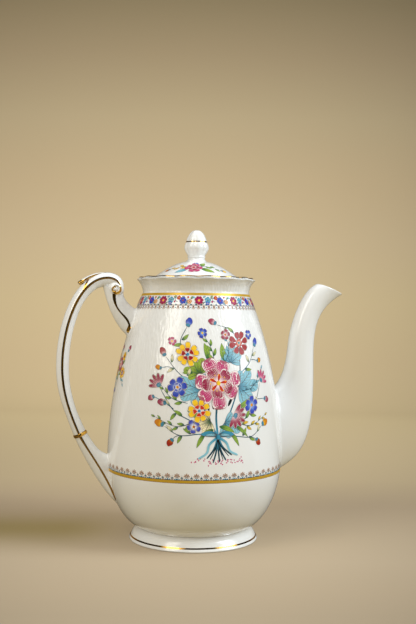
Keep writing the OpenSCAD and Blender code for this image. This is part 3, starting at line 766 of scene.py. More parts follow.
def scroll_threads(gold, face):
    """A gold thread on each face of the scroll, curling from the ridge of the bow into the eye."""
    turn_by = np.linspace(36, -268, 97)
    track = np.interp(-turn_by, [-36, 60, 130, 180, 225, 268], [3.5, 3.35, 3.0, 2.75, 2.1, 1.0])
    width = np.interp(-turn_by, [-36, 10, 60, 110, 150, 225, 268], [.55, .75, 1.05, 1.0, .7, .6, .5])
    a = np.radians(turn_by)[:, None]
    r = track[:, None] + width[:, None] * np.linspace(-1, 1, 9)
    y = np.interp(r, face[:, 0], face[:, 1])
    for side in (1, -1):
        top = round_eye(r, a, side * (y + PROUD))
        low = top - (0, side * (PROUD + SUNK), 0)
        ids = gold.grid(np.concatenate([top, low[:, ::-1]], 1), round_v=True, flip=side > 0)
        gold.close(ids, flip=side > 0)


def make_root(name, rings, flip):
    """A strap whose last ring meets the wall in a hollow fillet; returns its rings outside."""
    plug = (0.3, 0.6, 0.9)
    closed = rooted(rings[::-1], ROOT_FILLET, plug=plug)
    clay = Clay()
    clay.close(clay.grid(closed, round_v=True, flip=flip), flip=flip)
    clay.fire(name, GLAZE, "pot", replaces=("handle_" + name,), crease=70)
    return closed[len(plug):]


def make_upper_root(gold):
    """Strap from the scroll down to the shoulder; its gold line ends in a wide tick."""
    t = np.linspace(0, 1, 61)
    crown = cub([EYE + (6.6, -.6), (-58.7, 180.4), (-r_at(172.8) + 2.6, 171.3), (-r_at(174.8), 174.5)], t)
    ridge = cub([EYE - (1, 1), EYE - (2.7, 20), (-51.5, 171.3), (-r_at(158.5), 158.5)], t)
    under = cub([EYE + (-9.6, 3.2), (-68.4, 177.6), (-62.8, 161.8), (-r_at(153.8), 153.8)], t)
    rings = lens(crown, ridge, under, 5.2 + 1.6 * t * t, 1.5 - 0.4 * t)
    rings = make_root("upper_root", rings, flip=False)
    m = len(rings) - 1
    at = np.linspace(m * 0.07, m * 0.985, 60)
    half = np.interp(at / m, [.07, .14, .17, .3, .5, .62, .8, 1], [2.9, 2.9, .9, .95, .65, .7, 1.3, 1.4])
    aside = np.interp(at / m, [.07, .14, .17, .3, .7, 1], [2.2, 2.2, .35, .2, .2, .35])
    gild_ridges(gold, rings, at, half, aside)


def make_lower_root(gold, start, away):
    """Strap from the foot of the bow, at `start`, down to the belly."""
    t = np.linspace(0, 1, 61)
    crown = cub([start + away * BOW_OUT * 0.95, (-82.6, 59.1), (-r_at(35) - 5.9, 35),
                 (-r_at(28.3), 28.3)], t)
    ridge = cub([start, (-79.7, 66.3), (-r_at(45) + 1, 45), (-r_at(31), 31)], t)
    under = cub([start - away * BOW_IN, (-73, 67.1), (-r_at(68) - 8.1, 68.8), (-r_at(64.3), 64.3)], t)
    rings = lens(crown, ridge, under, BOW_HALF + 1.3 * t * t, 1.5 - 0.4 * t)
    rings = make_root("lower_root", rings, flip=True)
    m = len(rings) - 1
    at = np.linspace(m * 0.08, m * 0.985, 60)
    half = np.interp(at / m, [.08, .12, .3, .6, 1], [1.6, 1.7, 1.35, 1.05, .95])
    gild_ridges(gold, rings, at, half, 0.0)


def make_leaf(gold):
    """Thumb leaf: a waved, flattened tongue that leaves the back of the bow and curls up."""
    s = np.linspace(1, 0, 49)
    t = LEAF_FROM + (LEAF_TO - LEAF_FROM) * s
    d = cub(BOW_B, t + 1e-3) - cub(BOW_B, t - 1e-3)
    d /= np.linalg.norm(d, axis=1, keepdims=True)
    q = cub(BOW_B, t) + leftward(d) * (3.0 + 2.7 * s**1.6)[:, None]
    wide = np.interp(s, [0, .3, .6, .85, 1], [.8, 2.4, 3.3, 3.2, 1.7])
    wide = np.convolve(np.pad(wide, 3, "edge"), np.ones(7) / 7, "valid")
    wave = 1 + 0.06 * np.abs(np.sin(3.2 * math.pi * s))
    thick = np.interp(s, [0, .4, .85, 1], [.6, 1.3, 1.55, 1.5]) * np.sqrt(1 - ease(s, .95, 1.04))
    up = leftward(heading(q)) * thick[:, None]
    leaf = lens(q + up, q, q - up, wide * wave, 1.2)
    skinned("thumb_leaf", leaf, "handle_thumb_leaf")
    half = np.interp(s[:46], [0, .1, .3, .84, .89, 1], [.45, .6, .75, .8, 2.6, 2.6])
    gild_ridges(gold, leaf, np.arange(46.0), half, 0.3)


def gild_crown(gold, bow):
    """The gold fold where the leaf parts from the bow, and a thread over the crown."""
    fold = np.linspace(0, 1, 25)
    for side in (1, -1):
        col = 10 - side * 10 + side * 7.0 * fold
        gilt_strip(gold, bow, 101 + 9 * fold, col, np.interp(fold, [0, .5, 1], [.7, 1.0, .7]))
    half = np.interp(np.arange(30), [0, 24, 29], [.4, .4, .2])
    gilt_strip(gold, bow, np.linspace(118, 138, 30), 10, half)


def make_fillet(start, away, along):
    """Gilded fillet round the handle where the lower root begins: a half round of 0.67 mm."""
    k = np.linspace(-1, 1, 13)
    grow = 0.05 + 0.62 * np.sqrt(np.maximum(0, 1 - k * k))
    c = start + along * (k * 1.3)[:, None]
    out, inn = BOW_OUT * 0.95 + grow, BOW_IN + grow
    rings = lens(c + away * out[:, None], c, c - away * inn[:, None], BOW_HALF + grow, 1.5)
    skinned("band_fillet", rings, "handle_band", GOLD)


def make_handle():
    """The bow with its scroll, roots, leaf and fillet, and one piece for all its gold lines."""
    ridge, away, along, out, inn, half = bow_lines(157)
    bow = lens(ridge + away * out[:, None], ridge, ridge - away * inn[:, None], half, 1.5)
    skinned("bow", bow, "handle_bow")
    gold = Clay()
    at = np.arange(0.5, 154.5, 1.0)
    wide = np.interp(at / 154, [0, .05, .45, .6, .75, .9, 1], [.75, .8, .9, 1.0, .85, .75, .6])
    gild_ridges(gold, bow, at, wide, np.interp(at / 154, [0, .3, .9, 1], [.1, .5, .5, .1]))
    make_scroll(gold)
    make_upper_root(gold)
    make_lower_root(gold, ridge[0], away[0])
    make_leaf(gold)
    gild_crown(gold, bow)
    gold.fire("handle_threads", GOLD, "pot", replaces=("handle_gold_lines",), crease=60)
    make_fillet(ridge[0], away[0], along[0])


# ---------------------------------------------------------------- lid

DOME_TOP = [(32, 199), (27, 202.5), (18, 209.2), (8.8, 210.8)]
DOME_UNDER = [(29, 197.1), (25.5, 199), (17, 205.8), (5, 207.5)]
DOME_OUTER, DOME_INNER = run(DOME_TOP, 400)[::-1], run(DOME_UNDER, 400)[::-1]
VENT_R, VENT_AT, VENT_HALF = 1.5, 19.0, 1.9
VENT_STEP = 110  # which of the steps round the lid the air hole is at
VENT_STEPS = slice(VENT_STEP - 4, VENT_STEP + 4)


def dome_z(r):
    """Height of the top of the dome at radius r."""
    return np.interp(r, DOME_OUTER[:, 0], DOME_OUTER[:, 1])


def dome_under_z(r):
    """Height of the inner side of the dome at radius r."""
    return np.interp(r, DOME_INNER[:, 0], DOME_INNER[:, 1])


def air_hole(clay):
    """Air hole: the gap in each skin of the dome runs from a square to a lip, with a tube between.

    A ring that is a share s of the way in holds (1 - s) of the square and s of the circle.
    """
    flat = square_to_round(8, 2, 1.0, np.ones(2))
    square, circle = flat[:, 0], flat[:, -1]
    a = np.arctan2(circle[:, 1], circle[:, 0])
    lip = VENT_R + 0.22
    rings = ((0, lip, 0.0), (.5, lip, 0.0), (1, lip, 0.0), (1, VENT_R + 0.05, 0.1), (1, VENT_R, 0.35))
    cells = []
    for height, inward, order in ((dome_z, -1, 1), (dome_under_z, 1, -1)):
        for s, rad, sink in rings[::order]:
            x = square[:, 0] * 4 * STEP * VENT_AT * (1 - s) + s * rad * np.cos(a)
            r = VENT_AT + (square[:, 1] * VENT_HALF * (1 - s) + s * rad * np.sin(a))
            cells.append(turned_points(r, VENT_STEP * STEP + x / VENT_AT, height(r) + inward * sink))
    clay.grid(np.stack(cells, 1), round_u=True, flip=True)


def make_lid():
    """Dome, scalloped brim and flange as one closed surface with the air hole through it."""
    vent = 17.1 + np.arange(9) * 0.475
    r_top = np.r_[[0.0, 4.0, 8.8], np.linspace(8.8, 17.1, 16)[1:-1], vent, np.linspace(20.9, 31.4, 26)[1:]]
    r_under = np.r_[np.linspace(29, 20.9, 18)[1:], vent[::-1][1:], np.linspace(17.1, 5, 14)[1:], [2.5, 0]]
    brim = spline([(31.4, 199.22, 0), (32.4, 198.98, .02), (34.2, 198.78, .05), (36.2, 198.68, .1),
                   (40.2, 198.56, .5), (43, 198.58, .9), (43.8, 198.38, 1), (44.15, 197.9, 1),
                   (43.85, 197.36, 1), (43.2, 197.13, 1), (41, 197.1, .7), (38, 197.1, .2),
                   (36.9, 197.05, 0), (36.5, 196.7, 0)], 92)[1:]
    flange = spline([(36.5, 196.7), (36.5, 190), (36.5, 183), (36.3, 181.7), (35.6, 181.15),
                     (34.9, 181.15), (34.1, 181.7), (33.9, 183), (33.9, 190), (33.8, 195.6),
                     (32.6, 196.9), (29, 197.3)], 78)[1:]
    profile = np.vstack([rows(np.c_[r_top, dome_z(r_top)]), brim, rows(flange),
                         rows(np.c_[r_under, dome_under_z(r_under)])])[::-1]
    last = len(profile) - 1
    keep = np.ones((ROUND, last), bool)  # all but the 8 x 8 cells of the air hole in each skin
    for end in (3 + 14 + 8, len(r_top) + len(brim) + len(flange) + 17 + 7):
        keep[VENT_STEPS, last - end:last - end + 8] = False
    clay = Clay()
    clay.grid(turned(profile, np.arange(ROUND) * STEP), round_u=True, keep=keep)
    air_hole(clay)
    clay.fire("lid_china", GLAZE, "lid", replaces=("lid_dome", "lid_brim", "lid_flange"),
              crease=50)


KNOB_R, KNOB_ROOT, KNOB_TALL = 9.5, 210.4, 24.6
KNOB = [(.91, 0, 0), (.8, .045, 0), (.7, .09, 0), (.68, .135, 0), (.725, .15, 0), (.725, .178, 0),
        (.69, .195, 0), (.74, .235, .4), (.87, .315, .8), (.97, .395, 1), (1, .45, 1), (.975, .525, 1),
        (.9, .6, .7), (.85, .637, .4), (.825, .69, .5), (.755, .77, .6), (.6, .88, .8), (.41, .96, 1),
        (.24, .997, 1), (.13, 1, .8), (.06, .985, 0)]


def knob_sized(k):
    """The knob's outline, given in shares of its radius and height, in millimetres."""
    return np.c_[k[:, 0] * KNOB_R, KNOB_ROOT + k[:, 1] * KNOB_TALL, k[:, 2]]


def knob_turn(rzk, n=192):
    """Rings of the knob: r' = r (1 + 0.08 k (|cos 4 phi| - 1)), eight lobes."""
    a = TAU * np.arange(n) / n
    lobes = np.sqrt(np.cos(4 * a)**2 + 0.003) - 1
    r = rzk[:, :1] * (1 + 0.08 * rzk[:, 2:] * lobes)
    return turned_points(r, a, np.broadcast_to(rzk[:, 1:2], r.shape))


def make_knob():
    """Knob: a waisted stalk and a lobed bud, closed with fans below and at the tip."""
    k = spline(KNOB, 101)
    k[:, 1] = np.clip(k[:, 1], 0, 1)
    clay = Clay()
    clay.close(clay.grid(knob_turn(knob_sized(k)), round_v=True, flip=True), flip=True)
    clay.fire("knob", GLAZE, "lid", replaces=("lid_knob",), crease=60)


def hoop(name, line, body, finish, node, turn=None, proud=PROUD, sunk=0.18):
    """A closed ring of gold: the line [r, z, k] stands `proud` of the glaze and dips under it."""
    d = heading(line[:, :2])
    away = np.stack([d[:, 1], -d[:, 0], 0 * d[:, 0]], 1)
    away *= np.sign(away[:, 0].mean())
    section = np.vstack([line + away * proud, (line - away * sunk)[::-1]])
    rings = turned(section, np.arange(ROUND) * STEP) if turn is None else turn(section).transpose(1, 0, 2)
    clay = Clay()
    clay.grid(rings, round_u=True, round_v=True)
    clay.fire(name, finish, body, replaces=(node,), crease=50)


def make_hoops():
    """Bands at the neck and the belly, and fine lines on the foot, the lid's edge and the knob."""
    for name, node, z0, z1 in (("neck_band", "neck_gold_band", 184.05, 185.8),
                               ("belly_band", "lower_gold_band", 53.05, 54.95)):
        z = np.linspace(z0, z1, 9)
        hoop(name, rows(np.c_[r_at(z), z]), "pot", BAND_GOLD, node)
    low = FOOT_OUT[(FOOT_OUT[:, 1] < 3.6) & (FOOT_OUT[:, 1] > 2.4)][::-1]
    hoop("foot_thread", rows(low), "pot", GOLD, "foot_gold_line")
    brim = spline([(43.2, 198.57, .93), (43.6, 198.47, .98), (43.93, 198.28, 1), (44.13, 197.9, 1)], 13)
    hoop("brim_thread", brim[::-1], "lid", GOLD, "lid_gold_rim", proud=0.06)
    k = spline(KNOB, 401)[201:]
    k = k[(k[:, 1] > .618) & (k[:, 1] < .655)]
    hoop("knob_thread", knob_sized(k), "lid", GOLD, "knob_gold_line", turn=knob_turn)


make_body()
make_foot()
make_spout()
make_handle()
make_lid()
make_knob()
make_hoops()


# ---------------------------------------------------------------- painted decoration

def screen(*cs):
    """Several screen colours at once."""
    return [rgb(*c) for c in cs]


PALE_PINK, PINK, DEEP_PINK, RED, CORAL = screen(
    (248, 220, 224), (190, 44, 108), (150, 10, 62), (160, 16, 14), (204, 52, 20))
YELLOW, AMBER, CREAM, BLUE, PALE_BLUE = screen(
    (250, 204, 36), (208, 124, 6), (246, 234, 190), (34, 60, 178), (140, 172, 230))
TEAL, PALE_TEAL, DARK_TEAL, GREEN, PALE_GREEN = screen(
    (62, 148, 178), (140, 198, 214), (14, 66, 82), (12, 98, 46), (152, 182, 62))
WHITE, BROWN, TAN, INK, OLIVE = screen(
    (248, 244, 236), (112, 70, 48), (172, 134, 106), (20, 26, 28), (100, 120, 56))
LEAFY, WATERY, ROSY = (GREEN, PALE_GREEN), (TEAL, PALE_TEAL), (PALE_PINK, DEEP_PINK)
BLUES, GOLDEN, EMBER = (PALE_BLUE, BLUE), (YELLOW, AMBER), (AMBER, RED)


def off(x, y, a, r):
    """The point that is r away from (x, y) in the direction a."""
    return x + r * np.cos(a), y + r * np.sin(a)


class Brush:
    """Collects painted marks on a flat plane in millimetres, to be laid on the glaze later.

    `level` counts the marks, and each is laid a little higher than those before it. f is 1, or
    -1 where a spray is painted as its own mirror image.
    """

    def __init__(self, seed, f=1.0):
        self.sets, self.level, self.f = {}, 0.0, f
        self.rng = np.random.default_rng(seed)

    def keep(self, p, u, v, rim, kind, heel, tip, line, edge, level):
        """Keeps n marks p[n, i, j] with what is painted on them.

        u and v run along and across a mark, and rim is the distance to its edge. It is `heel`
        where it starts and `tip` where it ends, shaded by its kind, and outlined in `line` as
        strongly as `edge` says.
        """
        n, nu, nv = p.shape[:3]
        one = np.ones((n, nu, nv, 1))

        def spread(value):
            """One number, or one to each mark, at every point."""
            return np.asarray(value, float).reshape(-1, 1, 1, 1) * one

        def paint(c, fourth=1.0):
            """One colour, or one to each mark, with a fourth number at every point."""
            return np.concatenate([np.asarray(c, float).reshape(-1, 1, 1, 3) * one, spread(fourth)], -1)

        ways = np.concatenate([u[..., None] * one, v[..., None] * one, spread(kind), one], -1)
        self.sets.setdefault((nu, nv), []).append(dict(
            p=p, level=spread(level)[..., 0], heel=paint(heel), tip=paint(tip), line=paint(line, edge),
            ways=ways, rim=rim[..., None] * one))

    def blade(self, x, y, ang, long, wide, bend=0.0, a=0.7, b=0.7, notch=0.0, frill=0.0,
              heel=PALE_PINK, tip=PINK, line=BROWN, edge=1.0, kind=1, level=None, fine=True):
        """One petal, leaf or fleck, or many: any of the first ten values may be an array.

        It runs from (x, y) towards `ang` for `long` and bends by `bend`. Its half width is
        wide (u/m)^a ((1-u)/(1-m))^b with m = a/(a+b), so that m is where it is widest, and its
        length varies across as (1 - notch u^5 (1 - v^2)) (1 + frill u^3 sin 9v).
        """
        x, y, ang, long, wide, bend, a, b, notch, frill = (
            np.asarray(q, float)[:, None, None] for q in
            np.broadcast_arrays(*np.atleast_1d(x, y, ang, long, wide, bend, a, b, notch, frill)))
        nu, nv = (15, 9) if fine else (8, 5)
        u = ((1 - np.cos(np.linspace(0, math.pi, nu))) / 2)[None, :, None]
        v = np.linspace(-1, 1, nv)[None, None, :]
        m = a / (a + b)
        w = wide * (u / m)**a * (np.maximum(1 - u, 0) / (1 - m))**b
        along = long * u * (1 - notch * u**5 * (1 - v**2)) * (1 + frill * np.sin(9 * v) * u**3)
        side = long * bend * u * u / 2 + v * w
        p = np.stack([x + along * np.cos(ang) - side * np.sin(ang),
                      y + along * np.sin(ang) + side * np.cos(ang)], -1)
        rim = np.minimum((1 - np.abs(v)) * w, (1 - u) * long)
        if level is None:
            level = self.level
            self.level += 1.0
        n = len(p)
        level = np.asarray(level, float) + np.zeros(n)
        if n > 1 and np.ptp(level) == 0:
            level = level + np.arange(n) / max(n, 2) * 0.9
        self.keep(p, u, v, rim, kind, heel, tip, line, edge, level)

    def fleck(self, x, y, ang, long, wide, heel, tip, **shape):
        """Small marks with no outline and no shading."""
        self.blade(x, y, ang, long, wide, heel=heel, tip=tip, edge=0.0, kind=0, fine=False, **shape)

    def dot(self, x, y, r, c, c2=None, edge=0.0, fine=False):
        """Round dots: blades as wide as they are long."""
        x, y, r = np.broadcast_arrays(*np.atleast_1d(x, y, r))
        self.blade(x - r, y, 0.0, 2 * r, r, a=0.5, b=0.5, heel=c, tip=c2 or c, edge=edge, kind=0,
                   fine=fine)

    def stroke(self, points, w0, w1, ink=DARK_TEAL, ink2=None, level=None, n=28):
        """A brush line through the points, its width going from w0 to w1."""
        c = evened(spline(points, 60), n)
        s = np.linspace(0, 1, n)[:, None]
        half = (w0 * (1 - s) + w1 * s) / 2 * np.minimum(1, np.minimum(s, 1 - s) * 12 + 0.35)
        v = np.array([[-1.0, 0, 1.0]])
        p = c[:, None] + leftward(heading(c))[:, None] * (half * v)[..., None]
        if level is None:
            level = self.level
            self.level += 0.5
        self.keep(p[None], s[None], v[None], (half * (1 - np.abs(v)))[None], 0, ink, ink2 or ink, INK,
                  0.0, level)

    def stem(self, points, w0, w1, ink=TEAL, ink2=DARK_TEAL):
        """A stroke that follows the spray when it is mirrored."""
        self.stroke([(x * self.f, y) for x, y in points], w0, w1, ink, ink2)

    def aim(self, a):
        """An angle, or what it becomes in the mirror."""
        return a if self.f > 0 else math.pi - a

    def rosette(self, x, y, r, n, turn=0.0, heel=PALE_PINK, tip=PINK, inner=0.14, line=BROWN,
                notch=0.12, a=0.9, b=0.32, halo=True, uneven=0.07, frill=0.0):
        """n petals round a point: pale outlined ones first, then coloured ones a little inside."""
        k = np.arange(n)
        ang = turn + TAU * k / n + uneven * np.sin(k * 3.7 + x)
        size = r * (1 - inner) * (1 + uneven * np.sin(k * 2.4 + turn + y))
        wide = r * (0.98 * a / (a + b) * math.sin(math.pi / n))
        at, shape = off(x, y, ang, r * inner), dict(a=a, b=b, notch=notch, line=line)
        if halo:
            self.blade(*at, ang, size * 1.06, wide * 1.05, heel=WHITE, tip=WHITE, **shape)
            size, wide = size * 0.99, wide * 0.9
        self.blade(*at, ang, size, wide, frill=frill, heel=heel, tip=tip, edge=0.0 if halo else 0.8,
                   **shape)

    def leaf(self, x, y, ang, long, wide, bend, heel=GREEN, tip=PALE_GREEN):
        """One veined leaf."""
        self.blade(x, y, ang, long, wide, bend, 0.75, 0.9, heel=heel, tip=tip, line=DARK_TEAL, kind=2)

    def lobed(self, x, y, ang, long, heel, tip):
        """A leaf of five rounded lobes spread from one stalk, with a vein in each."""
        spread = np.array([-1.25, 1.25, -0.68, 0.68, 0.0])
        size = np.array([0.62, 0.62, 0.84, 0.84, 1.0]) * long
        self.blade(x, y, ang + spread, size, size * 0.24, spread * 0.15, 1.0, 0.45, heel=heel, tip=tip,
                   kind=2)
        for s, q in zip(spread, size):
            vein = [(x, y), off(x, y, ang + s, 0.5 * q), off(x, y, ang + s * 1.05, 0.86 * q)]
            self.stroke(vein, 0.35, 0.12, level=self.level, n=10)
        self.level += 0.5

    def cup(self, x, y, ang, spread, long, wide):
        """Three small sepals under a bud or a bell."""
        self.blade(x, y, ang + spread * np.array([-1, 1, 0]), long, wide, heel=TEAL, tip=TEAL, kind=0,
                   fine=False)

    def bud(self, x, y, ang, long, heel=PALE_PINK, tip=DEEP_PINK):
        """A closed bud: two folded petals in a small cup."""
        for turn, size, bend in ((0.28, long * 0.94, -0.5), (-0.2, long, 0.4)):
            self.blade(x, y, ang + turn, size, long * 0.36, bend, 0.8, 0.5, heel=heel, tip=tip)
        self.cup(*off(x, y, ang, -0.12 * long), ang, 0.6, long * 0.42, long * 0.16)

    def bell(self, x, y, ang, long, n, heel, tip, spread=1.6):
        """A half-open flower seen from the side: petals fanned about its axis, in a cup."""
        s = np.linspace(-spread / 2, spread / 2, n)
        s = s[np.argsort(-np.abs(s))]
        wide = long * min(0.2, 0.42 * spread / n)
        for size, share, paint in ((1.06, 1.12, dict(heel=WHITE, tip=WHITE)),
                                   (1, 0.9, dict(heel=heel, tip=tip, edge=0.0))):
            self.blade(x, y, ang + s, long * (size - 0.12 * np.abs(s)), wide * share, s * 0.3, 0.85, 0.4,
                       notch=0.1, **paint)
        self.cup(x, y, ang, 0.5, long * 0.34, long * 0.13)

    def blossom(self, x, y, r, n, turn, heel, tip, eye, *eye_paint, notch=0.12):
        """A small flower: one rosette round a dot of radius `eye`."""
        self.rosette(x, y, r, n, turn, heel, tip, notch=notch)
        self.dot(x, y, eye, *eye_paint)

    def daisy(self, x, y, r, n=9, turn=0.1, eye=RED):
        """A flat flower with a ring of small red petals on its yellow ones."""
        self.rosette(x, y, r, n, turn, AMBER, YELLOW, inner=0.3, notch=0.14, a=0.8, b=0.35)
        self.rosette(x, y, r * 0.54, max(5, (n + 1) // 2), turn + 0.3, eye, eye, inner=0.3, halo=False,
                     line=WHITE, notch=0.0)
        self.dot(x, y, r * 0.13, BLUE, TEAL)

    def rose(self, x, y, r, turn=0.3, small=False):
        """An open rose: seven loose outer petals, five cupped inner ones, red heart and stamens."""
        self.rosette(x, y, r, 7, turn, inner=0.2, line=DEEP_PINK, notch=0.2, uneven=0.09, frill=0.025)
        self.rosette(x, y, r * 0.66, 5, turn + 0.5, *ROSY, inner=0.1, line=DEEP_PINK, notch=0.16,
                     uneven=0.05)
        if small:
            self.dot(x, y, r * 0.2, CORAL, RED)
            return
        a = turn + 0.5 + TAU * (np.arange(5) + 0.5) / 5
        self.blade(*off(x, y, a, r * 0.05), a, r * 0.36, r * 0.075, a=0.9, b=0.4, heel=RED, tip=CORAL,
                   line=WHITE, kind=0)
        k = np.arange(15)
        self.dot(*off(x, y, turn + TAU * k / 15, r * (0.33 + 0.05 * np.sin(k * 2.2))), r * 0.028,
                 AMBER, YELLOW)
        self.dot(x, y, r * 0.1, AMBER, YELLOW)

    def sprig(self, points, n, long, wide, heel=GREEN, tip=PALE_GREEN, ink=DARK_TEAL):
        """A stem with leaves on both sides that shrink towards its tip."""
        points = [(x * self.f, y) for x, y in points]
        self.stroke(points, 0.5, 0.2, ink)
        c = evened(spline(points, 60), n + 2)
        way = np.arctan2(*heading(c).T[::-1])
        for i in range(1, n + 1):
            s, side = 1 - 0.45 * i / (n + 1), 1 if i % 2 else -1
            self.leaf(*c[i], way[i] + side * 0.75 * self.f, long * s, wide * s, -0.5 * side, heel, tip)
        self.leaf(*c[-1], way[-1], long * 0.6, wide * 0.6, 0.1, heel, tip)

    def ring_line(self, z, wide, ink, r, level=0.0, parts=24):
        """A thin line all the way round, in a few long strokes."""
        s, v, whole = np.linspace(0, 1, 7)[:, None], np.array([[-1.0, 0, 1.0]]), TAU * r
        for i in range(parts):
            x = np.linspace(i, i + 1, 7)[:, None] / parts * whole
            p = np.stack(np.broadcast_arrays(x, z + wide / 2 * v), -1)
            self.keep(p[None], s[None], v[None], np.zeros((1, 7, 3)), 0, ink, ink, ink, 0.0, level)

    def lay(self, name, place, body, lift=0.03):
        """Makes one mesh of every mark; `place` maps x, y and a height off the glaze to space."""
        clay = Clay()
        top = max(r["level"].max() for marks in self.sets.values() for r in marks)
        step = min(0.004, 0.2 / max(top, 1))
        for marks in self.sets.values():
            paint = {k: np.concatenate([r[k] for r in marks]) for k in marks[0]}
            p, level = paint.pop("p"), paint.pop("level")
            clay.many(place(p[..., 0], p[..., 1], lift + step * level), **paint)
        clay.fire(name, ENAMEL, body)


def on_body(phi0, z0=0.0, size=1.0, ring=None):
    """Lays a plane on the body: x is arc length round it from phi0, y is height above z0.

    Both are drawn `size` times as large. With a ring, x is measured on that radius throughout.
    """
    def place(x, y, lift):
        """The point at (x, y), `lift` out along the normal (1, -r') / sqrt(1 + r'^2)."""
        z = size * y + z0
        s = slope_at(z)
        q = np.sqrt(1 + s * s)
        return turned_points(r_at(z) + lift / q, phi0 + size * x / (ring or r_at(z)), z - lift * s / q)
    return place


def on_lid(phi0, r0=22.0):
    """Lays a plane on the dome: x runs round it from phi0, y runs up it from the radius r0."""
    def place(x, y, lift):
        """The point at (x, y), `lift` out along the dome's normal."""
        r = r0 - y
        s = (dome_z(r + 0.4) - dome_z(r - 0.4)) / 0.8
        q = np.sqrt(1 + s * s)
        return turned_points(r - lift * s / q, phi0 + x / r0, dome_z(r) + lift / q)
    return place


TIE = (3, 85)  # where the ribbon holds the stems of the posy


def posy_stems(b):
    """Fallen petals, the stems above and below the tie, and the dark gaps between them."""
    k = b.rng.uniform(-1, 1, (46, 3))
    b.fleck(2 * b.f + 21 * k[:, 0], 68 + 2.2 * k[:, 1], k[:, 2] * 3, 1.5, 0.42, PALE_PINK, PINK, level=0.0)
    for w0, w1, *points in (
            (1.5, 1.2, TIE, (2, 100), (5, 120)), (1.2, 0.7, TIE, (-6, 103), (-12, 120), (-17, 141)),
            (1.2, 0.7, TIE, (13, 103), (21, 126), (22, 150)),
            (0.9, 0.45, TIE, (-16, 96), (-28, 103), (-38, 118)),
            (0.9, 0.45, TIE, (20, 94), (33, 104), (41, 121)),
            (0.8, 0.4, TIE, (-9, 87), (-24, 86), (-35, 92)), (0.8, 0.4, TIE, (16, 85), (30, 84), (41, 91)),
            (0.7, 0.4, (-17, 139), (-22, 150), (-17, 161)), (0.6, 0.35, (22, 149), (16, 159), (5, 163)),
            (0.7, 0.35, (-12, 120), (-24, 129), (-33, 140)), (0.7, 0.35, (21, 128), (31, 136), (37, 147))):
        b.stem(points, w0, w1)
    for dx, dy in ((-8, -15), (-3.5, -18), (1.2, -17.5), (6, -16.5), (10.5, -13)):
        b.stem([TIE, (3 + dx * 0.35, 85 + dy * 0.55), (3 + dx, 85 + dy)], 1.5, 1.0)
    for dx, dy in ((-5.6, -15.5), (3.8, -16), (8.2, -13.6)):
        b.stem([(3, 84), (3 + dx * 0.3, 85 + dy * 0.5), (3 + dx, 85 + dy)], 0.9, 0.5, INK, INK)
    for x, y, a, long in ((-3, 103, 1.9, 9), (0, 104, 1.6, 9), (6, 104, 1.4, 9), (11, 106, 1.1, 8),
                          (-9, 110, 2.2, 6), (15, 112, 0.9, 6)):
        b.blade(x * b.f, y, b.aim(a), long, 1.0, a=0.6, b=0.8, heel=INK, tip=INK, edge=0.0, kind=0)


def posy_leaves(b):
    """Broad, long and small leaves, and the leafy stems that fill the gaps."""
    for x, y, a, size, paint in (
            (-8, 117, 2.75, 19, WATERY), (20, 119, 0.05, 19, WATERY), (-9, 128, 2.1, 14, LEAFY),
            (8, 95, -0.5, 14, WATERY), (-2, 96, 3.5, 13, (GREEN, CREAM)), (14, 136, 1.3, 13, WATERY)):
        b.lobed(x * b.f, y, b.aim(a), size, *paint)
    for x, y, a, long, wide, bend in (
            (10, 137, 1.95, 13, 2.2, -0.4), (-3, 138, 1.5, 12, 2.1, 0.5), (-6, 98, 3.0, 13, 2.0, -0.5),
            (18, 104, 0.3, 13, 2.1, 0.5), (4, 92, -0.1, 12, 1.8, -0.5), (0, 90, 3.4, 11, 1.7, 0.5),
            (12, 88, -0.7, 12, 1.5, -0.5), (-6, 87, 3.9, 11, 1.5, 0.5), (16, 92, -0.35, 13, 1.4, -0.6)):
        b.leaf(x * b.f, y, b.aim(a), long, wide, bend * b.f)
    paints = {7: LEAFY, 6.5: (DARK_TEAL, PALE_GREEN), 6: (GREEN, CREAM)}
    for x, y, a, long in (
            (-22, 99, 2.3, 7), (-26, 101, 3.7, 6.5), (-31, 106, 2.1, 6), (-16, 87, 2.3, 6.5),
            (-22, 86, 3.9, 6.5), (-29, 88, 2.1, 6), (25, 97, 0.8, 7), (29, 100, -0.5, 6.5),
            (35, 106, 1.2, 6), (22, 85, 0.8, 6.5), (28, 84.5, -0.8, 6.5), (36, 87, 0.9, 6),
            (-14, 129, 2.9, 7), (-20, 148, 2.9, 7), (-21, 152, 0.4, 6.5), (-18, 127, 0.9, 6),
            (18, 157, 2.2, 6.5), (12, 161.5, -1.9, 6), (20, 154, 0.2, 6), (26, 132, -0.4, 6.5),
            (30, 136, 1.7, 6), (-27, 132, 3.4, 6), (-29, 136, 1.2, 6), (34, 141, 0.2, 6)):
        b.leaf(x * b.f, y, b.aim(a), long, long * 0.2, 0.5 * b.f, *paints[long])
    for n, long, wide, paint, *points in (
            (6, 6.5, 1.4, LEAFY, (2, 134), (0, 146), (-6, 157)),
            (5, 5.5, 1.3, WATERY, (9, 134), (13, 145), (11, 155)),
            (6, 6, 1.3, LEAFY, (-18, 108), (-30, 112), (-40, 124)),
            (6, 6, 1.3, (DARK_TEAL, PALE_TEAL), (22, 116), (33, 119), (44, 131)),
            (6, 6, 1.3, (DARK_TEAL, PALE_GREEN), (-12, 96), (-26, 92), (-42, 98)),
            (6, 6, 1.3, (GREEN, YELLOW), (18, 94), (30, 92), (45, 98))):
        b.sprig(points, n, long, wide, *paint)


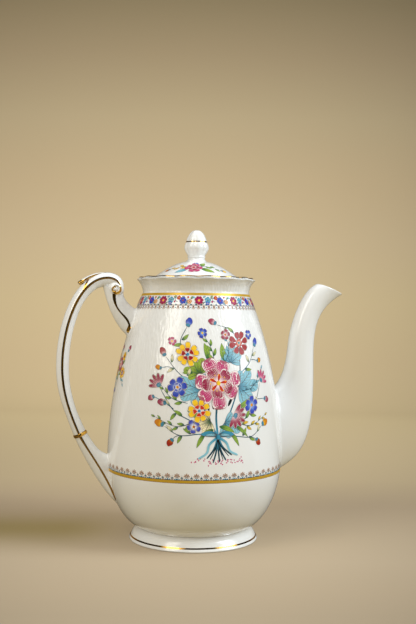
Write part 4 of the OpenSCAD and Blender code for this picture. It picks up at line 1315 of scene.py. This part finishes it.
def posy_buds(b):
    """Two bells and the buds all round, with short stalks for the outermost."""
    b.bell(-38 * b.f, 119, b.aim(2.2), 9.5, 5, *ROSY)
    b.bell(42 * b.f, 122, b.aim(0.9), 9, 5, PALE_PINK, PINK)
    for x, y, a, long, paint in (
            (-36, 93, 2.8, 6.5, GOLDEN), (-29, 83, 4.0, 5.5, EMBER), (42, 92, 0.3, 6.5, GOLDEN),
            (35, 82, -0.9, 5.5, EMBER), (-34, 108, 3.0, 6, ROSY), (-43, 112, 3.5, 5, ROSY),
            (46, 110, -0.3, 5.5, ROSY), (-16, 162, 1.2, 6, BLUES), (4, 164, 2.7, 5.5, ROSY),
            (-34, 141, 2.0, 6, (PALE_PINK, RED)), (38, 148, 1.1, 6, BLUES),
            (-37, 132, 2.9, 4.5, GOLDEN), (40, 137, 0.2, 4.5, GOLDEN)):
        b.bud(x * b.f, y, b.aim(a), long, *paint)
    for w0, w1, *points in (
            (0.45, 0.5, (-34, 108), (-31, 106), (-28, 104)), (0.4, 0.45, (-43, 112), (-38, 110), (-33, 108)),
            (0.4, 0.45, (46, 110), (42, 110), (37, 110)), (0.35, 0.4, (-37, 132), (-32, 133), (-28, 132)),
            (0.35, 0.4, (40, 137), (36, 138), (33, 138)), (0.35, 0.4, (-29, 83), (-27, 85), (-24, 86)),
            (0.35, 0.4, (35, 82), (32, 83), (29, 84))):
        b.stem(points, w0, w1)


def posy_flowers(b):
    """The small flowers, then the large ones with the rose on top."""
    b.rosette(-25 * b.f, 119, 6.8, 6, 0.2, *BLUES, notch=0.2)
    b.rosette(-25 * b.f, 119, 3.2, 5, 0.6, WHITE, BLUE, halo=False, line=WHITE)
    b.dot(-25 * b.f, 119, 1.0, *GOLDEN)
    b.blossom(31 * b.f, 106, 6.0, 6, 0.5, *BLUES, 1.2, *GOLDEN, notch=0.2)
    for x, y, r, paint, eye in (
            (-6, 157, 3.4, BLUES, YELLOW), (11, 156, 3.6, ROSY, AMBER),
            (-28, 151, 3.0, (PALE_PINK, PINK), YELLOW), (32, 156, 3.2, BLUES, CREAM)):
        b.blossom(x * b.f, y, r, 5, 0.4 + x, *paint, r * 0.22, eye, notch=0.15)
    b.blossom(-14 * b.f, 92, 4.6, 5, 0.8, WHITE, BLUE, 0.9, YELLOW, RED, notch=0.15)
    b.daisy(-17 * b.f, 142, 8.2)
    b.rosette(22 * b.f, 150, 8.2, 8, 0.3, RED, RED, inner=0.3)
    b.rosette(22 * b.f, 150, 2.9, 6, 0.1, CREAM, CORAL, inner=0.1, halo=False)
    b.dot(22 * b.f, 150, 0.9, GREEN, TEAL)
    b.daisy(-10 * b.f, 103, 7.8, n=8, turn=0.5, eye=CORAL)
    b.bell(15 * b.f, 100, b.aim(-0.5), 10, 7, *ROSY, spread=2.4)
    b.rose(4 * b.f, 122, 16.5)


def posy_ribbon(b):
    """A bow of two loops and two ends."""
    x, y = TIE[0] * b.f, TIE[1]
    for a, bend in ((2.5, 1.0), (0.6, -1.0)):
        b.blade(x, y, b.aim(a), 11, 2.4, bend * b.f, 0.9, 0.6, heel=DARK_TEAL, tip=TEAL)
        b.blade(x, y, b.aim(a), 11 * 0.72, 1.1, bend * 1.1 * b.f, 0.9, 0.7, heel=INK, tip=PALE_TEAL)
    b.stem([TIE, (-3, 80), (-5, 74), (-11, 70)], 1.8, 1.3, *WATERY)
    b.stem([TIE, (9, 81), (12, 75), (18, 72)], 1.8, 1.3, *WATERY)
    b.dot(x, y, 1.9, DARK_TEAL, TEAL, edge=1.0, fine=True)


def posy(seed, f=1.0):
    """The large spray: flowers tied with a ribbon, with buds arching out to both sides."""
    b = Brush(seed, f)
    for paint in (posy_stems, posy_leaves, posy_buds, posy_flowers, posy_ribbon):
        paint(b)
    return b


def side_sprig(seed):
    """A small spray for beside the handle."""
    b = Brush(seed)
    b.sprig([(-7, -17), (-3, -6), (2, 3), (8, 14)], 5, 7.5, 1.6)
    b.sprig([(-3, -6), (4, -7), (10, -13)], 3, 6, 1.3, *WATERY)
    b.bud(-8, -18, -2.2, 5, *BLUES)
    b.bud(9, 15, 1.0, 5.5)
    b.blossom(-3, 3, 6.4, 6, 0.2, *ROSY, 1.4, YELLOW, CORAL, notch=0.15)
    b.daisy(6, -4, 5.0, n=8)
    b.blossom(3, 10, 3.6, 5, 0.4, AMBER, YELLOW, 0.9, RED)
    return b


def lid_spray(seed):
    """A flat spray for the dome of the lid: a rose between two leafy stems that end in buds."""
    b = Brush(seed)
    b.sprig([(2, 0), (10, 1), (19, -3.5)], 4, 6, 1.4)
    b.sprig([(-2, 0), (-9, 0.5), (-17, -3)], 4, 6, 1.4, AMBER, YELLOW, OLIVE)
    b.leaf(4, 2.5, 0.3, 8, 1.8, 0.4)
    b.leaf(5, -2, -0.35, 9, 2.0, -0.3)
    b.leaf(-4, -3, 3.5, 8, 1.8, 0.3, *WATERY)
    b.bud(-18, -3.4, 3.5, 3.6, RED, AMBER)
    b.bud(20, -4, -0.4, 3.4, AMBER, YELLOW)
    b.blossom(1.5, 4.2, 3.0, 6, 0.2, *BLUES, 0.7, YELLOW)
    b.rose(0, -0.5, 5.8, turn=0.8, small=True)
    return b


VINE_R, NECK_LACE_R, BELLY_LACE_R = 43.6, 45.35, 66.25


def repeats(r, n):
    """The width of each of n repeats round the radius r, and where each begins."""
    wide = TAU * r / n
    return wide, np.arange(n) * wide


def vine_flowers(b, k, x, y, r, m, heel, tip, eye, halo=True):
    """The same small flower of m petals in every repeat of the vine."""
    ang = 0.2 + TAU * np.arange(m) / m
    wide = 0.7 * math.sin(math.pi / m)
    xs, ys = off(k[:, None] + x, y + 0 * k[:, None], ang, r * 0.15)
    ladder = b.level + np.tile(np.arange(m) * 0.2, len(k))
    coats = [(0.88, 1.1, heel, tip, 0.2, 1.4)]
    if halo:
        coats.insert(0, (0.96, 1.15, WHITE, WHITE, 0.6, 0.0))
    for long, share, c, c2, edge, above in coats:
        b.blade(xs.ravel(), ys.ravel(), np.tile(ang, len(k)), r * long, r * wide * share, a=0.9, b=0.35,
                heel=c, tip=c2, line=tip, edge=edge, level=ladder + above, fine=False)
    b.level += 3.2
    b.dot(k + x, y + 0 * k, r * 0.24, eye)


def neck_border(seed):
    """A vine round the neck, in ten repeats.

    Each has a large pink flower, two smaller and three tiny ones, leaves and three dots.
    """
    b = Brush(seed)
    per, k = repeats(VINE_R, 10)
    wave = np.linspace(0, per, 17)
    for start in k:
        b.stroke(np.c_[start + wave, 180.5 + 1.7 * np.sin(TAU * wave / per * 2)], 0.5, 0.5, TEAL, DARK_TEAL,
                 level=0.0)
        for x, y, dx, dy in ((4.6, 181.9, 2.2, -2.6), (11.5, 181.9, 2.0, 0.9), (18.6, 179.2, -2.0, 3.2),
                             (25.0, 179.6, 1.2, 2.9)):
            x += start
            b.stroke([(x, y), (x + dx * 0.8, y + dy * 0.3), (x + dx, y + dy)], 0.4, 0.25, level=0.5)
    b.level = 1.0
    for x, y, a, long, paint in (
            (0.8, 181.2, 0.9, 2.6, LEAFY), (3.6, 178.6, -0.4, 2.6, LEAFY), (9.6, 182.6, 0.2, 2.4, WATERY),
            (10.4, 178.4, 3.3, 2.8, LEAFY), (15.2, 182.6, 0.3, 2.6, LEAFY),
            (17.6, 181.4, 0.6, 2.6, (TEAL, DARK_TEAL)), (20.6, 178.6, -0.2, 2.6, LEAFY),
            (24.0, 182.2, 2.6, 2.6, LEAFY), (26.6, 178.6, 3.4, 2.4, WATERY)):
        b.blade(k + x, y, a, long, long * 0.26, 0.3, 0.8, 0.8, heel=paint[0], tip=paint[1],
                line=DARK_TEAL, kind=2, fine=False)
    for flower in (
            (6.8, 180.3, 3.1, 7, PINK, DEEP_PINK, YELLOW),
            (13.3, 180.6, 2.2, 5, PALE_TEAL, TEAL, DARK_TEAL),
            (13.0, 178.3, 1.3, 5, *BLUES, YELLOW, False),
            (19.4, 182.2, 1.5, 5, RED, CORAL, YELLOW, False),
            (22.6, 180.2, 2.5, 6, BLUE, BLUE, RED), (0.0, 179.4, 1.6, 5, CREAM, AMBER, RED, False)):
        vine_flowers(b, k, *flower)
    for x, y, paint in ((3.0, 182.6, WATERY), (16.4, 179.4, (DEEP_PINK, PINK)), (26.2, 182.6, (RED, CORAL))):
        b.dot(k + x, y, 0.7, *paint)
    return b


def neck_lace(seed):
    """Under the vine: two brown lines, then small arches with a dot in each and rays between."""
    b = Brush(seed)
    per, k = repeats(NECK_LACE_R, 76)
    down = -math.pi / 2
    b.ring_line(177.05, 0.4, TAN, NECK_LACE_R)
    b.ring_line(176.45, 0.22, BROWN, NECK_LACE_R, level=0.5)
    b.level = 1.0
    for s in (-1, 1):
        b.fleck(k, 176.4, down + s * 0.62, 2.6, 0.26, BROWN, TAN, bend=-s * 0.55, a=0.3, b=0.4)
    b.fleck(k, 176.4, down, 2.9, 0.24, BROWN, TAN, a=0.3, b=0.6)
    b.dot(k + per / 2, 175.1, 0.42, DARK_TEAL, TEAL)
    b.fleck(k + per / 2 - 0.8, 177.2, 0.0, 1.6, 0.5, TEAL, DARK_TEAL)
    return b


def belly_lace(seed):
    """Above the lower band: brown stars over teal points, with a teal drop between each two."""
    b = Brush(seed)
    per, k = repeats(BELLY_LACE_R, 61)
    z, up = 54.95, math.pi / 2
    b.ring_line(z + 0.1, 0.3, BROWN, BELLY_LACE_R)
    b.ring_line(z - 2.0, 0.3, BROWN, BELLY_LACE_R)
    b.level = 1.0
    for x, long in ((0.0, 1.5), (-1.5, 1.0), (1.5, 1.0)):
        b.fleck(k + x, z + 0.1, up, long, 0.8, DARK_TEAL, TEAL, a=0.12, b=1.0)
    for a in (-1.35, -0.68, 0.0, 0.68, 1.35):
        b.fleck(k + 0.3 * math.sin(a), z + 2.4 + 0.3 * math.cos(a), up - a, 2.2 - 0.2 * abs(a), 0.42,
                BROWN, TAN, a=0.9, b=0.35)
    for a, bend in ((-2.3, -0.4), (2.3, 0.4)):
        b.fleck(k, z + 2.3, up - a, 1.5, 0.24, BROWN, BROWN, bend=bend, a=0.4, b=0.5)
    b.fleck(k + per / 2, z + 1.0, up, 1.6, 0.55, TEAL, DARK_TEAL, a=0.5, b=0.9)
    for s in (-1, 1):
        b.fleck(k + per / 2, z + 0.3, up + s * 1.0, 1.9, 0.2, BROWN, TAN, bend=-s * 1.1, a=0.3, b=0.4)
    b.dot(k + per / 2, z + 3.2, 0.22, TAN)
    return b


posy(3).lay("front_posy", on_body(math.radians(-90)), "pot")
posy(4, -1.0).lay("back_posy", on_body(math.radians(90)), "pot")
side_sprig(5).lay("side_sprig_front", on_body(math.radians(-172), 130, size=0.85), "pot")
side_sprig(6).lay("side_sprig_back", on_body(math.radians(172), 130, size=0.85), "pot")
neck_border(11).lay("neck_vine", on_body(0.0, ring=VINE_R), "pot")
neck_lace(13).lay("neck_lace", on_body(0.0, ring=NECK_LACE_R), "pot")
belly_lace(17).lay("belly_lace", on_body(0.0, ring=BELLY_LACE_R), "pot", lift=0.02)
lid_spray(7).lay("lid_spray_front", on_lid(math.radians(-107)), "lid")
lid_spray(8).lay("lid_spray_back", on_lid(math.radians(77)), "lid")


# ---------------------------------------------------------------- camera, floor and light

SPIN = math.radians(12.0)  # the camera and the paper stand turned by this about the pot's axis
TO_POT = np.array([[math.cos(SPIN), math.sin(SPIN), 0], [-math.sin(SPIN), math.cos(SPIN), 0], [0, 0, 1]])
CAMERA_AT = np.array([-138.7, -652.4, 167.05])
CAMERA_FAR = 0.667  # from the pot's axis, in metres
YAW, PITCH, ROLL = (math.radians(v) for v in (0.81, -0.46, 0.70))
NEAR_END, SHEET = 1.6, 5.6  # what lies before the pot, and the whole length of the paper, in metres
# The paper's buff tone with painted light and shade along the sheet: darker near the camera, in a band just
# behind the pot, and up the bend and the backdrop.
PAPER_TONE_AND_PAINTED_LIGHT = ((0.0, (126, 114, 94)), (0.2536, (148, 133, 110)), (0.2616, (154, 138, 114)),
               (0.2738, (160, 144, 120)), (0.2836, (159, 143, 119)), (0.3061, (150, 133, 109)),
               (0.3279, (162, 145, 115)), (0.4239, (182, 164, 127)), (0.5, (181, 161, 125)),
               (0.5313, (182, 163, 126)), (0.5595, (179, 160, 127)), (0.5866, (174, 155, 123)),
               (0.6125, (162, 146, 116)), (0.64, (141, 125, 98)), (0.6643, (119, 106, 80)),
               (0.75, (88, 78, 59)))


def camera():
    """A nearly level view with a 50 mm lens, from the height of the pot's shoulder."""
    level = np.array([math.cos(YAW), -math.sin(YAW), 0])
    onward = np.array([math.sin(YAW), math.cos(YAW), 0])
    up = np.array([0, 0, 1.0])
    ahead = math.cos(PITCH) * onward - math.sin(PITCH) * up
    above = math.sin(PITCH) * onward + math.cos(PITCH) * up
    right = math.cos(ROLL) * level + math.sin(ROLL) * above
    top = math.cos(ROLL) * above - math.sin(ROLL) * level
    m = np.eye(4)
    m[:3, :3] = TO_POT @ np.column_stack([right, top, -ahead])
    m[:3, 3] = CAMERA_AT * MM
    data = bpy.data.cameras.new("camera")
    data.sensor_fit, data.sensor_height, data.lens = "VERTICAL", 50 * 624 / 867, 50
    data.clip_start, data.clip_end = 0.02, 20
    cam = bpy.data.objects.new("camera", data)
    cam.matrix_world = Matrix(m.tolist())
    bpy.context.scene.collection.objects.link(cam)
    bpy.context.scene.camera = cam


def paper_finish():
    """Buff paper with painted light: its tone set by `far` along the sheet and `across` it, and a painted
    shadow by the pot.

    Where the camera sees it, it glows a little in its own tone: a painted glow that lights nothing else.
    What it throws back on the pot is of one warm tone, and what shiny surfaces mirror of it is darker, the
    more so the nearer.
    """
    m, w, s = finish_of("paper")
    far = w.mark("far", 2)
    # The ramp paints light and shade along the sheet onto the buff tone.
    col = w.node("ShaderNodeValToRGB", {"ramp": [(t, rgb(*c)) for t, c in PAPER_TONE_AND_PAINTED_LIGHT]},
                 {0: (far + NEAR_END) / SHEET})
    # Painted falloff of the light towards the sides of the view.
    col = col.times(w.mark("across", 2))
    # The painted shadow left of the foot darkens and warms the paper there.
    col = col.times(w.mark("shade", 2).blend((1.0, 1.0, 1.0), (0.72, 0.70, 0.46)))
    seen, bounced, mirrored = (w.node("ShaderNodeLightPath", out=k) for k in (0, 2, 3))
    mirrored = mirrored * (0.45 - far.step(0.3, 1.0) * 0.25)
    warm = bounced.blend(col, rgb(156, 136, 84))
    # Emission seen by the camera only: a painted glow in the paper's own tone.
    wire_up(s, Base_Color=mirrored.blend(warm, (0.0, 0.0, 0.0)), Roughness=0.9,
            Emission_Color=seen.blend((0.0, 0.0, 0.0), col), Emission_Strength=0.45,
            Specular_IOR_Level=0.2)
    return m


def sweep():
    """Floor and backdrop: one sheet of paper, flat, then bent up a quarter circle, then upright.

    With q = x / distance from the camera, `across` is 1 - (0.12 + 0.3 e) q - 2.6 q^2, where e
    goes from 0 to 1 along the sheet: a painted falloff of the light, darker towards both sides and
    more so on the right. A painted shadow lies in a soft stripe on the floor left of the foot.
    """
    ang = np.linspace(0, math.pi / 2, 33)
    line = np.vstack([np.c_[np.linspace(-NEAR_END, 0.9, 251), np.zeros(251)],
                      np.c_[0.9 + 0.5 * np.sin(ang), 0.5 - 0.5 * np.cos(ang)][1:],
                      np.c_[np.full(30, 1.4), np.linspace(0.5, 2.8, 31)[1:]]])
    x = np.r_[np.linspace(-3, -0.3, 19)[:-1], np.linspace(-0.3, 0.3, 61), np.linspace(0.3, 3, 19)[1:]]
    y, z = line.T
    sheet = Clay()
    sheet.grid(np.stack(np.broadcast_arrays(x[:, None], y, z), -1) @ TO_POT.T)
    mesh = bpy.data.meshes.new("paper_sweep")
    mesh.from_pydata(sheet.points[0].tolist(), [], sheet.quads[0].tolist())
    far = np.r_[0, np.cumsum(np.linalg.norm(np.diff(line, axis=0), axis=1))] - NEAR_END
    side = np.clip(x[:, None] / (CAMERA_FAR + np.maximum(y, -0.35)) - 0.014, -0.3, 0.3)
    # Painted falloff of the light: the paper grows darker towards the sides of the view.
    across = 1.0 - (0.12 + 0.3 * ease(far, 0.3, 1.2)) * side - 2.6 * side**2
    # A painted shadow: a soft stripe on the floor left of the foot, level with the pot, that darkens and
    # warms the paper.
    shade = ease(x, -0.5, -0.25) * (1 - ease(x, -0.105, -0.035))
    shade = shade[:, None] * np.exp(-((far - 0.022) / 0.042)**2)
    for name, v in (("far", np.broadcast_to(far, across.shape)), ("across", across), ("shade", shade)):
        mesh.attributes.new(name, "FLOAT", "POINT").data.foreach_set("value", v.astype(np.float32).ravel())
    mesh.polygons.foreach_set("use_smooth", np.ones(len(mesh.polygons), bool))
    mesh.materials.append(paper_finish())
    paper = bpy.data.objects.new("paper_sweep", mesh)
    bpy.context.scene.collection.objects.link(paper)


def lamp(name, at, aim, wide, tall, watts, tint=(1, 1, 1)):
    """A soft box: an area light at one point, aimed at another, in metres."""
    data = bpy.data.lights.new(name, "AREA")
    data.shape, data.size, data.size_y = "RECTANGLE", wide, tall
    data.energy, data.color = watts, tint
    box = bpy.data.objects.new(name, data)
    box.location = at
    box.rotation_euler = (Vector(aim) - Vector(at)).to_track_quat("-Z", "Y").to_euler()
    bpy.context.scene.collection.objects.link(box)


def lights():
    """A warm window on the left, a cooler and stronger one on the right, and one lamp overhead.

    Each window is three boxes of growing size in one place, so that its edges are soft.
    """
    for share, wide, tall in ((0.55, 0.62, 1.15), (0.25, 0.9, 1.4), (0.2, 1.2, 1.6)):
        lamp("left_window", (-1.24, -0.85, 1.2), (0, 0, 0.12), wide, tall, 17.5 * share, (1.0, 0.96, 0.86))
        lamp("right_window", (1.32, -0.72, 1.2), (0, 0, 0.12), wide, tall, 34.5 * share, (0.85, 0.93, 1.0))
    lamp("overhead", (-0.2, -0.2, 1.9), (0, 0, 0.1), 1.2, 1.2, 6)


def room():
    """Pale light from all round, but dark where a shiny surface mirrors it."""
    world = bpy.data.worlds.new("room")
    bpy.context.scene.world = world
    world.use_nodes = True
    ground = world.node_tree.nodes["Background"]
    mirrored = Wire(world.node_tree, 0.0).node("ShaderNodeLightPath", out=3)
    wire_up(ground, Color=mirrored.blend((0.43, 0.43, 0.44), (0.03, 0.03, 0.03)), Strength=1.0)


camera()
sweep()
lights()
room()
bpy.context.scene.view_settings.view_transform = "Standard"
